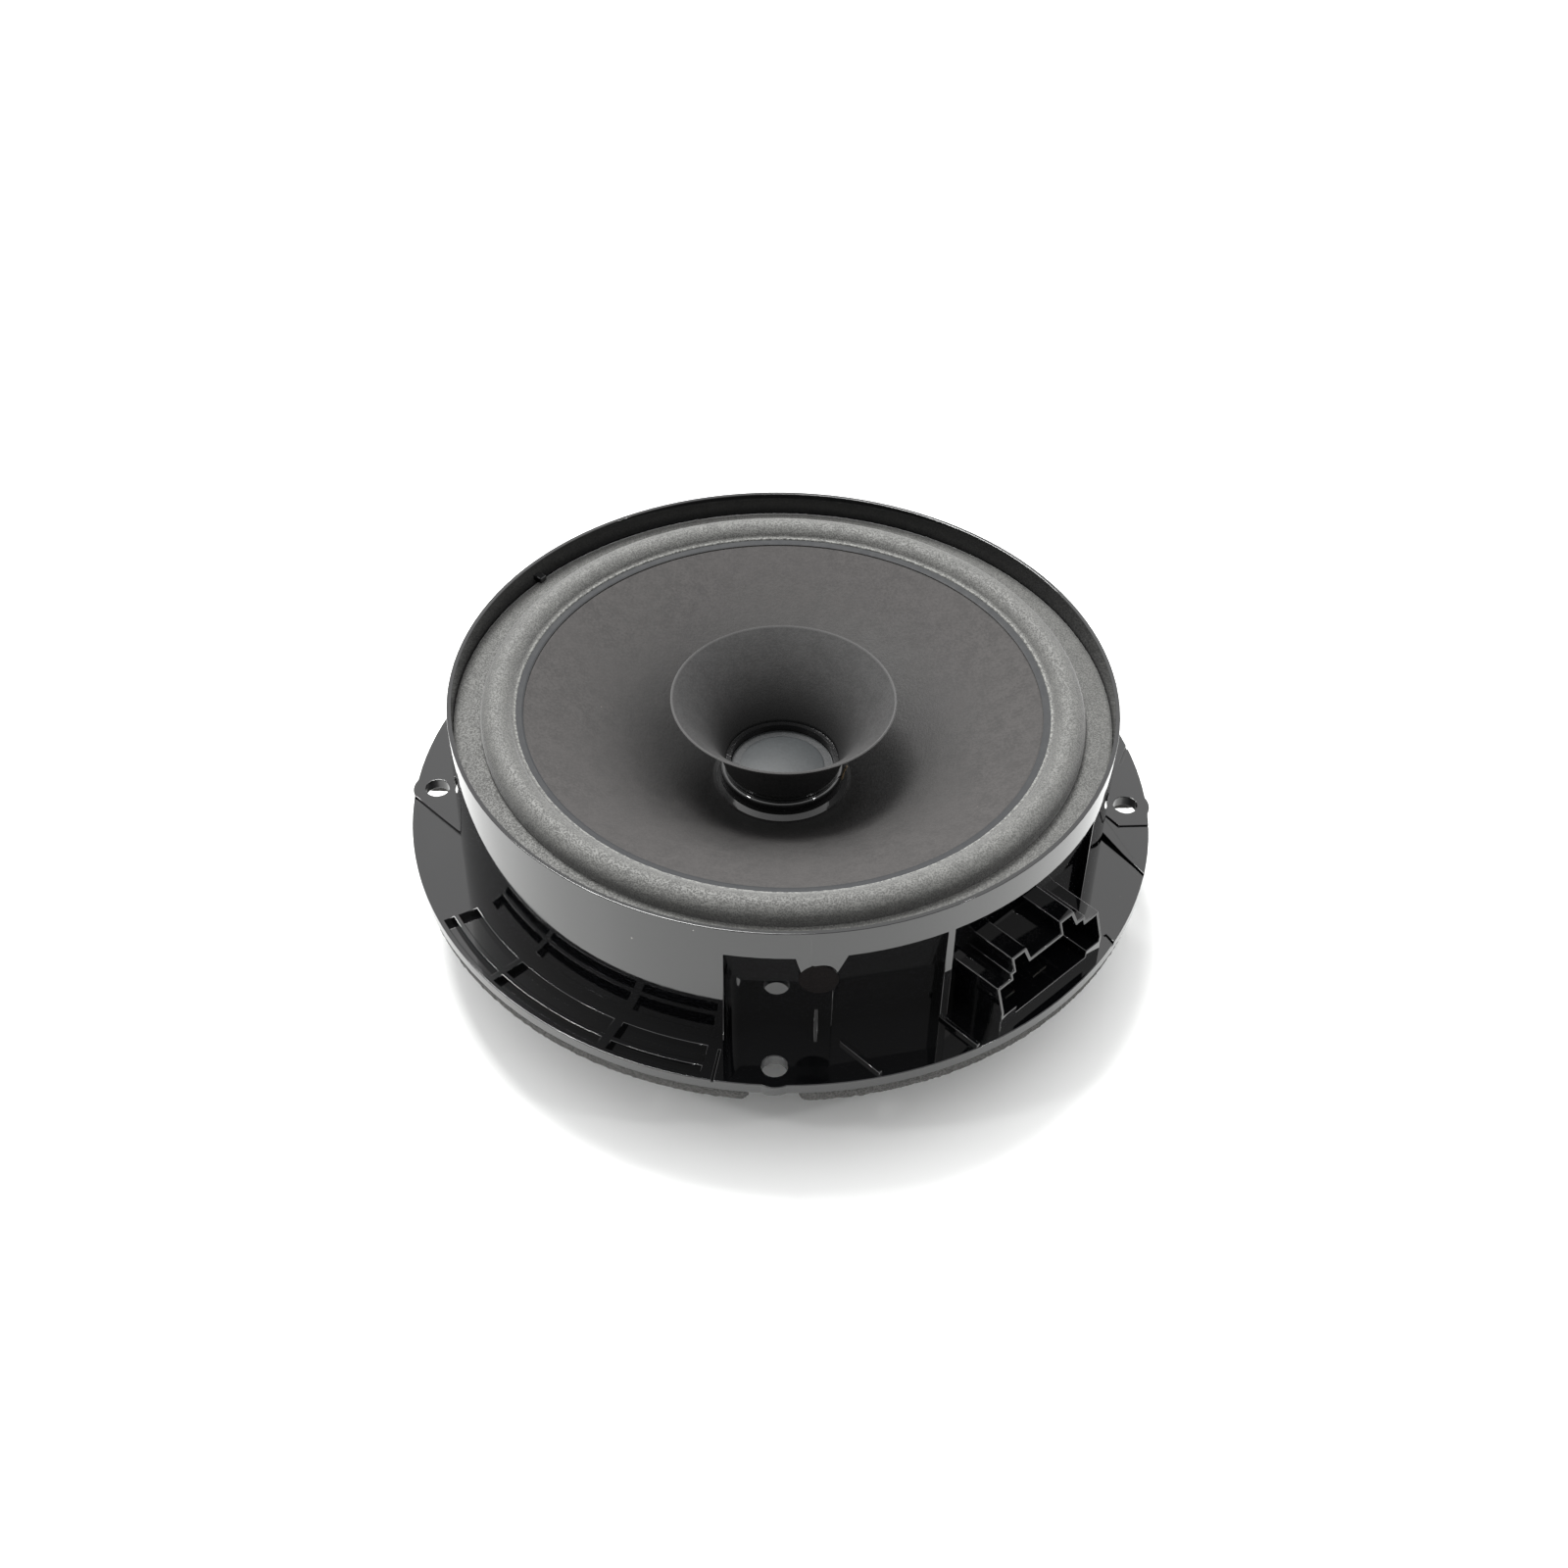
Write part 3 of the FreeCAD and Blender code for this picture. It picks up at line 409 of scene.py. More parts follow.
def foam_material():
    """Speckled grey surround foam with a slightly shiny skin on its cells and painted shade along the fold
    at the roll's outer edge.
    """
    dark = tuple(colours().foam)
    light = tuple(colours().foam_light)
    material, tree, shader = start_material("surround_foam", dark, 0.8)
    cells = place_group(tree, "Foam cells", scale=2600.0)
    patch = ramp(tree, noise_value(tree, 240.0, 3.0, 0.6), 0.3, 0.7)
    tone = mix_colour(tree, cells.outputs["Walls"], dark, light)
    faded = mix_colour(tree, spread(tree, patch, 0.0, 0.35), tone, shade(dark, 0.75))
    sizes_now = sizes()
    axis = place_group(tree, "Around axis")
    # Painted shade: a thin darker line along the fold where the roll meets its outer flange.
    off_fold = math_node(tree, "ABSOLUTE", math_node(
        tree, "SUBTRACT", axis.outputs["Radius"], sizes_now.roll_outer))
    fold_shade = ramp(tree, off_fold, 0.55 * MM, 0.1 * MM)
    fold_shaded = mix_colour(tree, spread(tree, fold_shade, 0.0, 0.1), faded, shade(dark, 0.5))
    cut_edge = sizes_now.foam_inner
    cut = ramp(tree, axis.outputs["Radius"], cut_edge + 0.75 * MM, cut_edge + 0.3 * MM)
    bead = ramp(tree, noise_value(tree, 1300.0, 2.0, 0.6), 0.42, 0.6)
    beaded = mix_colour(tree, math_node(tree, "MULTIPLY", cut, bead), fold_shaded, shade(light, 1.8))
    tree.links.new(beaded, shader.inputs["Base Color"])
    tree.links.new(spread(tree, cells.outputs["Walls"], 0.85, 0.55), shader.inputs["Roughness"])
    shader.inputs["Sheen Weight"].default_value = 0.25
    shader.inputs["Sheen Roughness"].default_value = 0.45
    bump(tree, shader, cells.outputs["Height"], 0.12 * MM, 0.8)
    return material


def gasket_material():
    """Coarse open-cell foam, cut to shape."""
    c = tuple(colours().gasket)
    material, tree, shader = start_material("gasket_foam", c, 0.95)
    cells = place_group(tree, "Foam cells", scale=2400.0)
    tree.links.new(mix_colour(tree, cells.outputs["Walls"], shade(c, 0.55), shade(c, 1.35)),
                   shader.inputs["Base Color"])
    bump(tree, shader, cells.outputs["Height"], 0.4 * MM, 1.0)
    return material


def paper_tree(name, base, scale, contrast, height):
    """Pressed paper: mottled colour, fibre relief and a little sheen."""
    material, tree, shader = start_material(name, base, 0.75)
    fibre = place_group(tree, "Pressed fibre", scale=scale)
    tone = mix_colour(tree, fibre.outputs["Mask"], shade(base, 1 - contrast), shade(base, 1 + contrast))
    shader.inputs["Specular IOR Level"].default_value = 0.35
    bump(tree, shader, fibre.outputs["Height"], height, 0.8)
    return material, tree, shader, tone


def cone_material():
    """Dark paper cone with a soft black halo round the neck, partly glue soaked in and partly painted
    shade.
    """
    base = tuple(colours().cone)
    material, tree, shader, tone = paper_tree("cone_paper", base, 1300.0, 0.22, 0.16 * MM)
    axis = place_group(tree, "Around axis")
    # The halo is partly glue soaked into the paper and partly painted shade from the whizzer, spread all
    # round out to 60 mm.
    blur = noise_value(tree, 90.0, 5.0, 0.8)
    drift = math_node(tree, "MULTIPLY", math_node(tree, "SUBTRACT", blur, 0.5), 16 * MM)
    reach = math_node(tree, "ADD", axis.outputs["Radius"], drift)
    dry_unshaded = ramp(tree, reach, 22 * MM, 60 * MM)
    warm = ramp(tree, noise_value(tree, 45.0, 2.0, 0.5), 0.35, 0.65)
    tinted = mix_colour(tree, spread(tree, warm, 0.0, 0.5), tone, shade(base, 1.08))
    specks = place_group(tree, "Dust specks", scale=170.0, size=0.05, share=0.10)
    soaked_and_shaded = mix_colour(tree, dry_unshaded, tuple(colours().cone_soaked_shaded), tinted)
    tree.links.new(mix_colour(tree, specks.outputs["Mask"], soaked_and_shaded, (0.12, 0.10, 0.09)),
                   shader.inputs["Base Color"])
    tree.links.new(spread(tree, dry_unshaded, 0.5, 0.8), shader.inputs["Roughness"])
    return material


def whizzer_material():
    """Thin paper of the small cone with a painted highlight along its rim, darker towards its neck from
    soaked glue and painted shade.
    """
    base = tuple(colours().whizzer)
    material, tree, shader, tone = paper_tree("whizzer_paper", base, 1500.0, 0.2, 0.12 * MM)
    axis = place_group(tree, "Around axis")
    low = low_of("whizzer_cone")
    # Darker towards the bottom of the bowl: partly glue soaked in, partly painted shade.
    rise = ramp(tree, axis.outputs["Height"], low + 3 * MM, low + 19 * MM)
    neck = ramp(tree, axis.outputs["Height"], low + 4.6 * MM, low + 3.6 * MM)
    soaked_and_bowl_shaded = mix_colour(tree, rise, shade(base, 0.28), tone)
    # Painted highlight: the top 0.5 mm of the rim is painted much lighter, as a light line along the edge.
    rim = ramp(tree, axis.outputs["Height"], top_of("whizzer_cone") - 0.5 * MM, top_of("whizzer_cone"))
    rim_highlighted = mix_colour(tree, rim, soaked_and_bowl_shaded, shade(base, 2.6))
    tree.links.new(mix_colour(tree, neck, rim_highlighted, tuple(colours().glue)), shader.inputs["Base Color"])
    tree.links.new(spread(tree, neck, 0.72, 0.12), shader.inputs["Roughness"])
    return material


def cap_material():
    """Dust cap: a lighter middle inside a darker ring, with faint blotches."""
    base = tuple(colours().cap)
    material, tree, shader, tone = paper_tree("dust_cap_paper", base, 1100.0, 0.12, 0.06 * MM)
    axis = place_group(tree, "Around axis")
    edge = math_node(tree, "ADD", axis.outputs["Radius"],
                     math_node(tree, "MULTIPLY", noise_value(tree, 200.0, 2.0, 0.5), 0.5 * MM))
    rim = ramp(tree, edge, 10.6 * MM, 11.4 * MM)
    blotch = ramp(tree, noise_value(tree, 110.0, 2.0, 0.5), 0.35, 0.7)
    middle = mix_colour(tree, spread(tree, blotch, 0.0, 0.3), tone, shade(base, 1.35))
    tree.links.new(mix_colour(tree, rim, middle, tuple(colours().cap_rim)), shader.inputs["Base Color"])
    tree.links.new(spread(tree, rim, 0.55, 0.4), shader.inputs["Roughness"])
    return material


def glue_material(name, base, roughness):
    """Cured adhesive with a gently flowing skin."""
    material, tree, shader = start_material(name, base, roughness)
    shader.inputs["Coat Weight"].default_value = 0.6
    shader.inputs["Coat Roughness"].default_value = 0.04
    flow = noise_value(tree, 190.0, 2.0, 0.5)
    tree.links.new(mix_colour(tree, flow, shade(base, 0.8), shade(base, 1.25)), shader.inputs["Base Color"])
    tree.links.new(spread(tree, flow, roughness * 0.7, roughness * 1.5), shader.inputs["Roughness"])
    bump(tree, shader, flow, 0.35 * MM, 0.5)
    return material


def edge_glue_material():
    """Dull grey band of dried glue between the paper and the foam."""
    c = tuple(colours().edge_glue)
    material, tree, shader = start_material("edge_glue_grey", c, 0.6)
    shader.inputs["Specular IOR Level"].default_value = 0.3
    flow = noise_value(tree, 420.0, 3.0, 0.6)
    tree.links.new(mix_colour(tree, flow, shade(c, 0.6), shade(c, 1.4)), shader.inputs["Base Color"])
    tree.links.new(spread(tree, flow, 0.5, 0.75), shader.inputs["Roughness"])
    bump(tree, shader, flow, 0.08 * MM, 0.5)
    return material


def steel_material():
    """Zinc-plated steel with faint rainbow passivation and handling marks."""
    c = tuple(colours().steel)
    material, tree, shader = start_material("zinc_steel", c, 0.32, 1.0)
    film = ramp(tree, noise_value(tree, 38.0, 3.0, 0.55), 0.35, 0.68)
    warm = mix_colour(tree, film, (0.60, 0.56, 0.42), (0.52, 0.55, 0.60))
    stain = ramp(tree, noise_value(tree, 14.0, 5.0, 0.7), 0.5, 0.75)
    tree.links.new(mix_colour(tree, spread(tree, stain, 0.0, 0.35), warm, shade(c, 0.55)),
                   shader.inputs["Base Color"])
    scuff = noise_value(tree, 700.0, 4.0, 0.7)
    tree.links.new(spread(tree, scuff, 0.2, 0.5), shader.inputs["Roughness"])
    bump(tree, shader, scuff, 0.03 * MM, 0.4)
    return material


def ferrite_material():
    """Dull ground ferrite with crumbly grain."""
    c = tuple(colours().ferrite)
    material, tree, shader = start_material("ferrite_ground", c, 0.55)
    grain = noise_value(tree, 1700.0, 5.0, 0.75)
    tree.links.new(mix_colour(tree, grain, shade(c, 0.5), shade(c, 1.9)), shader.inputs["Base Color"])
    tree.links.new(spread(tree, grain, 0.4, 0.75), shader.inputs["Roughness"])
    bump(tree, shader, noise_value(tree, 420.0, 6.0, 0.8), 0.15 * MM, 0.7)
    return material


def weave_material(name, base, pitch, roughness, metallic=0.0, gap=0.25):
    """Plain weave of threads that cross on the X and Y axes."""
    material, tree, shader = start_material(name, base, roughness, metallic)
    split = tree.nodes.new("ShaderNodeSeparateXYZ")
    tree.links.new(object_point(tree), split.inputs[0])
    waves = []
    for label in ("X", "Y"):
        angle = math_node(tree, "MULTIPLY", split.outputs[label], math.pi / pitch)
        waves.append(math_node(tree, "ABSOLUTE", math_node(tree, "SINE", angle)))
    weave = math_node(tree, "MAXIMUM", waves[0], waves[1])
    mottle = noise_value(tree, 90.0, 3.0, 0.6)
    threads = mix_colour(tree, ramp(tree, weave, gap, 0.95), shade(base, 0.35), shade(base, 1.1))
    tree.links.new(mix_colour(tree, spread(tree, mottle, 0.0, 0.45), threads, shade(base, 0.6)),
                   shader.inputs["Base Color"])
    rough = spread(tree, mottle, roughness * 0.8, min(1.0, roughness * 1.2))
    tree.links.new(rough, shader.inputs["Roughness"])
    bump(tree, shader, weave, 0.12 * MM, 0.9)
    return material


def wire_material(name, base, roughness, pitch):
    """Fine metal wire: slight colour change from strand to strand and a twisted relief."""
    material, tree, shader = start_material(name, base, roughness, 1.0)
    strand = noise_value(tree, 1.0 / pitch, 2.0, 0.6)
    tone = mix_colour(tree, strand, shade(base, 0.6), shade(base, 1.25))
    tree.links.new(tone, shader.inputs["Base Color"])
    tree.links.new(spread(tree, strand, roughness * 0.7, roughness * 1.4), shader.inputs["Roughness"])
    bump(tree, shader, strand, 0.06 * MM, 0.6)
    return material


def lacquer_material():
    """Tan lacquer over the end of the coil wire."""
    material, tree, shader = start_material("tan_lacquer", (0.20, 0.15, 0.09), 0.4)
    patch = noise_value(tree, 900.0, 3.0, 0.6)
    tree.links.new(mix_colour(tree, patch, (0.10, 0.075, 0.05), (0.30, 0.22, 0.13)),
                   shader.inputs["Base Color"])
    tree.links.new(spread(tree, patch, 0.25, 0.5), shader.inputs["Roughness"])
    bump(tree, shader, patch, 0.05 * MM, 0.5)
    return material


def film_material():
    """Amber polyimide film of the coil former."""
    c = tuple(colours().film)
    material, tree, shader = start_material("amber_film", c, 0.25)
    flow = noise_value(tree, 130.0, 2.0, 0.5)
    tree.links.new(mix_colour(tree, flow, shade(c, 0.75), shade(c, 1.25)), shader.inputs["Base Color"])
    tree.links.new(spread(tree, flow, 0.18, 0.34), shader.inputs["Roughness"])
    return material


def kraft_material():
    """Brown kraft paper of the collar."""
    base = tuple(colours().kraft)
    material, tree, shader, tone = paper_tree("kraft_paper", base, 900.0, 0.25, 0.08 * MM)
    tree.links.new(tone, shader.inputs["Base Color"])
    return material


def floor_material():
    """Pale, faintly glossy table top."""
    c = tuple(colours().floor)
    material, tree, shader = start_material("pale_table", c, 0.35)
    shader.inputs["Specular IOR Level"].default_value = 0.3
    cloud = noise_value(tree, 3.0, 3.0, 0.5)
    tree.links.new(mix_colour(tree, cloud, shade(c, 0.99), shade(c, 1.01)), shader.inputs["Base Color"])
    tree.links.new(spread(tree, cloud, 0.3, 0.4), shader.inputs["Roughness"])
    return material


def material_for(slot):
    """The finished material of one of the record's slots, built the first time."""
    c = colours()
    builders = {
        "basket_plastic": plastic_material,
        "gasket_foam": gasket_material,
        "surround_foam": foam_material,
        "clear_glue": lambda: glue_material("cured_glue", (0.06, 0.045, 0.02), 0.2),
        "spider_cloth": lambda: weave_material("spider_weave", tuple(c.cloth), 0.55 * MM, 0.6),
        "zinc_steel": steel_material,
        "ferrite": ferrite_material,
        "screen_mesh": lambda: weave_material("vent_weave", (0.02, 0.02, 0.02), 0.45 * MM, 0.5, 0.0, 0.5),
        "cone_paper": cone_material,
        "black_glue": lambda: glue_material("neck_glue", tuple(c.glue), 0.05),
        "whizzer_paper": whizzer_material,
        "cap_paper": cap_material,
        "kapton": film_material,
        "copper_wire": lambda: wire_material("winding_wire", tuple(c.copper), 0.25, 0.3 * MM),
        "collar_paper": kraft_material,
        "tinned_brass": lambda: wire_material("tinned_blade", tuple(c.tin), 0.3, 1.6 * MM),
        "braided_tinsel": lambda: wire_material("tinsel_braid", tuple(c.tinsel), 0.4, 0.25 * MM),
        "edge_glue": edge_glue_material,
    }
    key = "finish_" + slot
    stored = bpy.context.scene.get(key)
    if stored is None:
        stored = builders[slot]().name
        bpy.context.scene[key] = stored
    return bpy.data.materials[stored]


SLOT_OF = {row["node"]: row["material_slot"] for row in frame["record"]["subparts"]}


def finish_nodes(*names):
    """Give carried-over design pieces their finished material."""
    for name in names:
        node = frame["nodes"][name]
        node.data.materials.clear()
        node.data.materials.append(material_for(SLOT_OF[name]))


# ------------------------------------------------------------------ mesh helpers


def mesh_object(bm, name):
    """A linked object from a bmesh, with smooth faces."""
    for face in bm.faces:
        face.smooth = True
    mesh = bpy.data.meshes.new(name)
    bm.to_mesh(mesh)
    bm.free()
    piece = bpy.data.objects.new(name, mesh)
    bpy.context.scene.collection.objects.link(piece)
    return piece


def seat(piece, body, slot, *nodes, material=None):
    """Give a new piece the material of a record slot or the given material, attach it to a body and hide
    the design pieces that it stands for.
    """
    piece.data.materials.clear()
    piece.data.materials.append(material or material_for(slot))
    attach(piece, body)
    if nodes:
        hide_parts(*nodes)
    return piece


def turned_mesh(bm, outline, steps):
    """Turn a closed outline in radius and height once round the axis."""
    verts = [bm.verts.new((r, 0.0, z)) for r, z in outline]
    edges = [bm.edges.new((a, b)) for a, b in zip(verts, verts[1:] + verts[:1])]
    bmesh.ops.spin(
        bm, geom=verts + edges, cent=(0, 0, 0), axis=(0, 0, 1), angle=math.tau,
        steps=steps, use_merge=True)
    bmesh.ops.remove_doubles(bm, verts=bm.verts, dist=0.002 * MM)
    bmesh.ops.recalc_face_normals(bm, faces=bm.faces)


def nearest_normal(tree, source, normals, point, facing):
    """The design surface's normal beside a point, on the side that faces the same way."""
    best = None
    for place, normal, index, distance in tree.find_nearest_range(point, 0.15 * MM):
        if normal.dot(facing) > 0.95 and (best is None or distance < best[0]):
            best = (distance, place, index)
    if best is None:
        return facing.copy()
    face = source.polygons[best[2]]
    shares = poly_3d_calc([source.vertices[i].co for i in face.vertices], best[1])
    total = Vector()
    for share, loop in zip(shares, face.loop_indices):
        total += normals[loop] * share
    return total.normalized()


def softened_copy(node, name, width, sharp=math.radians(28), segments=2):
    """A design piece with its sharp edges rounded and its curved faces shaded as designed."""
    source = frame["nodes"][node].data
    normals = [Vector(n.vector) for n in source.corner_normals]
    tree = BVHTree.FromPolygons(
        [v.co for v in source.vertices], [tuple(f.vertices) for f in source.polygons])
    bm = bmesh.new()
    bm.from_mesh(source)
    bmesh.ops.remove_doubles(bm, verts=bm.verts, dist=0.03 * MM)
    bmesh.ops.dissolve_degenerate(bm, dist=0.01 * MM, edges=bm.edges)
    bmesh.ops.dissolve_limit(bm, angle_limit=math.radians(0.05), verts=bm.verts, edges=bm.edges)
    bm.normal_update()
    edges = [e for e in bm.edges if e.is_convex and e.calc_face_angle() > sharp]
    rounded = bm.faces.layers.int.new("rounded")
    made = bmesh.ops.bevel(
        bm, geom=edges, offset=width, offset_type="OFFSET", affect="EDGES", segments=segments,
        profile=0.5, material=-1, clamp_overlap=False)
    for face in made["faces"]:
        face[rounded] = 1
    bm.normal_update()
    corner = {}
    for face in bm.faces:
        if face[rounded]:
            continue
        middle = face.calc_center_median()
        for loop in face.loops:
            point = loop.vert.co.lerp(middle, 0.02)
            corner[loop] = nearest_normal(tree, source, normals, point, face.normal)
    for face in bm.faces:
        for loop in face.loops:
            if loop in corner:
                continue
            beside = [corner[other] for other in loop.vert.link_loops if other in corner]
            total = Vector()
            for normal in beside:
                total += normal
            corner[loop] = total.normalized() if beside else loop.vert.normal.copy()
    shading = [corner[loop] for face in bm.faces for loop in face.loops]
    piece = mesh_object(bm, name)
    piece.data.normals_split_custom_set(shading)
    return piece


def roughen(bm, amount, scale):
    """Push points along their normals by seeded cell-like noise."""
    bm.normal_update()
    for vert in bm.verts:
        value = noise.noise(vert.co * scale) + 0.5 * noise.noise(vert.co * scale * 2.3)
        vert.co += vert.normal * value * amount


def arc_points(start, end, bulge, count):
    """Points from start to end along an arc that rises by bulge at its middle."""
    a = Vector((*start, 0))
    b = Vector((*end, 0))
    half = (b - a).length / 2
    radius = (half ** 2 + bulge ** 2) / (2 * abs(bulge))
    side = Vector((-(b - a).y, (b - a).x, 0)).normalized() * math.copysign(1, bulge)
    centre = (a + b) / 2 + side * (abs(bulge) - radius)
    first = a - centre
    turn = first.angle(b - centre)
    sweep = turn if bulge < 0 else -turn
    points = []
    for k in range(count + 1):
        spun = Matrix.Rotation(sweep * k / count, 3, "Z") @ first
        points.append(((centre + spun).x, (centre + spun).y))
    return points


def blend_by_radius(piece, outer, inner):
    """Bake a ring's placement into its points and work out each point's share from its outer edge to its
    inner edge; the share is not kept.
    """
    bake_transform(piece)
    for vert in piece.data.vertices:
        share = (outer - math.hypot(vert.co.x, vert.co.y)) / (outer - inner)
        share = min(1.0, max(0.0, share))


# ------------------------------------------------------------------ operators


class LOUDSPEAKER_OT_basket(Operator):
    """Glossy moulded basket with rounded edges"""

    bl_idname = "loudspeaker.basket"
    bl_label = "Basket"

    def execute(self, context):
        s = sizes()
        piece = softened_copy("basket", "basket_moulding", s.edge_round)
        seat(piece, CHASSIS, "basket_plastic", "basket")
        piece.data.materials.append(gate_material())
        centre = Vector(s.gate_place)
        for face in piece.data.polygons:
            level = abs(face.center.y - centre.y) < GATE_FACE_SLACK
            if level and (face.center - centre).length < s.gate_radius:
                face.material_index = 1
        return {"FINISHED"}


class LOUDSPEAKER_OT_gaskets(Operator):
    """Four cut strips of open-cell foam under the flange"""

    bl_idname = "loudspeaker.gaskets"
    bl_label = "Flange gasket"

    def execute(self, context):
        strips = sorted(n for n in frame["nodes"] if n.startswith("flange_gasket"))
        if not strips:
            raise RuntimeError("the frame has no gasket strips")
        for node in strips:
            piece = softened_copy(node, node.replace("flange_gasket", "foam_strip"), GASKET_ROUND)
            remesh = piece.modifiers.new("Cells", "REMESH")
            remesh.mode = "VOXEL"
            remesh.voxel_size = GASKET_CELL
            graph = context.evaluated_depsgraph_get()
            fine = bpy.data.meshes.new_from_object(piece.evaluated_get(graph))
            piece.modifiers.clear()
            bm = bmesh.new()
            bm.from_mesh(fine)
            roughen(bm, sizes().gasket_rough, GASKET_GRAIN)
            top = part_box(node)[1].z
            for vert in bm.verts:
                vert.co.z = min(vert.co.z, top - 0.01 * MM)
            for face in bm.faces:
                face.smooth = True
            bm.to_mesh(piece.data)
            bm.free()
            seat(piece, CHASSIS, "gasket_foam", node)
        return {"FINISHED"}


class LOUDSPEAKER_OT_surround(Operator):
    """Rolled foam surround that joins the cone to the basket"""

    bl_idname = "loudspeaker.surround"
    bl_label = "Surround"

    def execute(self, context):
        s = sizes()
        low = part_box("surround")[0]
        outer = radius_of("surround")
        inner = s.foam_inner
        foot = top_of("cone")
        thick = s.foam_thick
        flat_top = low.z + thick
        rise = s.roll_rise * ROLL_ARCH
        crown = arc_points((s.roll_outer, flat_top), (s.roll_inner, foot + 0.7 * MM), -rise, ROLL_STEPS)
        under_start = (s.roll_inner + thick, foot)
        under_end = (s.roll_outer - thick, low.z)
        under = arc_points(under_start, under_end, rise - thick * 0.8, ROLL_UNDER_STEPS)
        outline = [(outer, low.z)]
        for k in range(SKIRT_STEPS):
            outline.append((outer + (s.roll_outer - outer) * k / SKIRT_STEPS, flat_top))
        outline += crown
        outline += [
            (inner + 0.3 * MM, foot + 0.66 * MM),
            (inner, foot + 0.45 * MM),
            (inner, foot + 0.02 * MM),
        ]
        outline += under
        bm = bmesh.new()
        turned_mesh(bm, outline, SURROUND_STEPS)
        roughen(bm, s.foam_rough, FOAM_GRAIN)
        piece = mesh_object(bm, "surround_roll")
        seat(piece, CHASSIS, "surround_foam", "surround")
        piece.parent = None
        blend_by_radius(piece, s.roll_outer, s.roll_inner)
        return {"FINISHED"}


class LOUDSPEAKER_OT_spider(Operator):
    """Corrugated cloth disc that centres the voice coil"""

    bl_idname = "loudspeaker.spider"
    bl_label = "Spider"

    def execute(self, context):
        s = sizes()
        thick = SPIDER_THICK
        seat_height = low_of("spider_glue_ring") - thick
        outer = radius_of("spider")
        inner = radius_of("coil_collar")
        pitch = (s.spider_wave_outer - s.spider_wave_inner) / s.spider_waves
        line = [(outer, seat_height)]
        for k in range(s.spider_waves):
            start = (s.spider_wave_outer - k * pitch, seat_height)
            end = (s.spider_wave_outer - (k + 1) * pitch, seat_height)
            bulge = SPIDER_WAVE if k % 2 else -SPIDER_WAVE
            line += arc_points(start, end, bulge, SPIDER_WAVE_STEPS)[:-1]
        line += [(s.spider_wave_inner, seat_height), (inner, seat_height)]
        outline = line + [(r, z + thick) for r, z in reversed(line)]
        bm = bmesh.new()
        turned_mesh(bm, outline, SPIDER_STEPS)
        piece = mesh_object(bm, "spider_disc")
        seat(piece, CHASSIS, "spider_cloth", "spider")
        piece.parent = None
        blend_by_radius(piece, s.spider_wave_outer, s.spider_wave_inner)
        return {"FINISHED"}


class LOUDSPEAKER_OT_cones(Operator):
    """Paper cone, whizzer, dust cap and the glue that joins them"""

    bl_idname = "loudspeaker.cones"
    bl_label = "Cones"

    def execute(self, context):
        finish_nodes("cone", "whizzer_cone", "dust_cap", "neck_glue_bead")
        edge = frame["nodes"]["cone_edge_glue"]
        edge.data.materials.clear()
        edge.data.materials.append(material_for("edge_glue"))
        return {"FINISHED"}


# The bared end of the coil wire, in millimetres.
LEAD_END = (
    (14.6, -4.0, 12.6),
    (15.5, -4.35, 13.6),
    (15.7, -4.5, 15.4),
    (16.0, -4.6, 17.2),
    (16.6, -4.75, 18.8),
)


def tube_along(name, points, radius):
    """A round wire through a few points in millimetres, as a mesh."""
    curve = bpy.data.curves.new(name, "CURVE")
    curve.dimensions = "3D"
    curve.bevel_depth = radius
    curve.bevel_resolution = 3
    curve.resolution_u = 8
    curve.use_fill_caps = True
    spline = curve.splines.new("NURBS")
    spline.points.add(len(points) - 1)
    for point, place in zip(spline.points, points):
        point.co = (*(Vector(place) * MM), 1.0)
    spline.order_u = 3
    spline.use_endpoint_u = True
    holder = bpy.data.objects.new(name, curve)
    bpy.context.scene.collection.objects.link(holder)
    graph = bpy.context.evaluated_depsgraph_get()
    bm = bmesh.new()
    bm.from_mesh(bpy.data.meshes.new_from_object(holder.evaluated_get(graph)))
    bpy.data.objects.remove(holder)
    bmesh.ops.remove_doubles(bm, verts=bm.verts, dist=0.001 * MM)
    bmesh.ops.recalc_face_normals(bm, faces=bm.faces)
    return mesh_object(bm, name)


class LOUDSPEAKER_OT_voice_coil(Operator):
    """Former, collar and the turns of the winding"""

    bl_idname = "loudspeaker.voice_coil"
    bl_label = "Voice coil"

    def execute(self, context):
        finish_nodes("voice_coil_former", "coil_collar")
        tail = tube_along("coil_lead_end", LEAD_END, COIL_END_RADIUS)
        seat(tail, MOVING, "copper_wire", material=lacquer_material())
        low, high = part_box("voice_coil_winding")
        inner = radius_of("voice_coil_former")
        outer = radius_of("voice_coil_winding")
        turns = round((high.z - low.z) / sizes().coil_turn)
        pitch = (high.z - low.z) / turns
        outline = [(inner, low.z)]
        for k in range(turns):
            base = low.z + k * pitch
            outline += [(outer - pitch / 3, base), (outer, base + pitch / 4), (outer, base + pitch * 3 / 4)]
        outline += [(outer - pitch / 3, high.z), (inner, high.z)]
        bm = bmesh.new()
        turned_mesh(bm, outline, WINDING_STEPS)
        seat(mesh_object(bm, "winding_turns"), MOVING, "copper_wire", "voice_coil_winding")
        return {"FINISHED"}


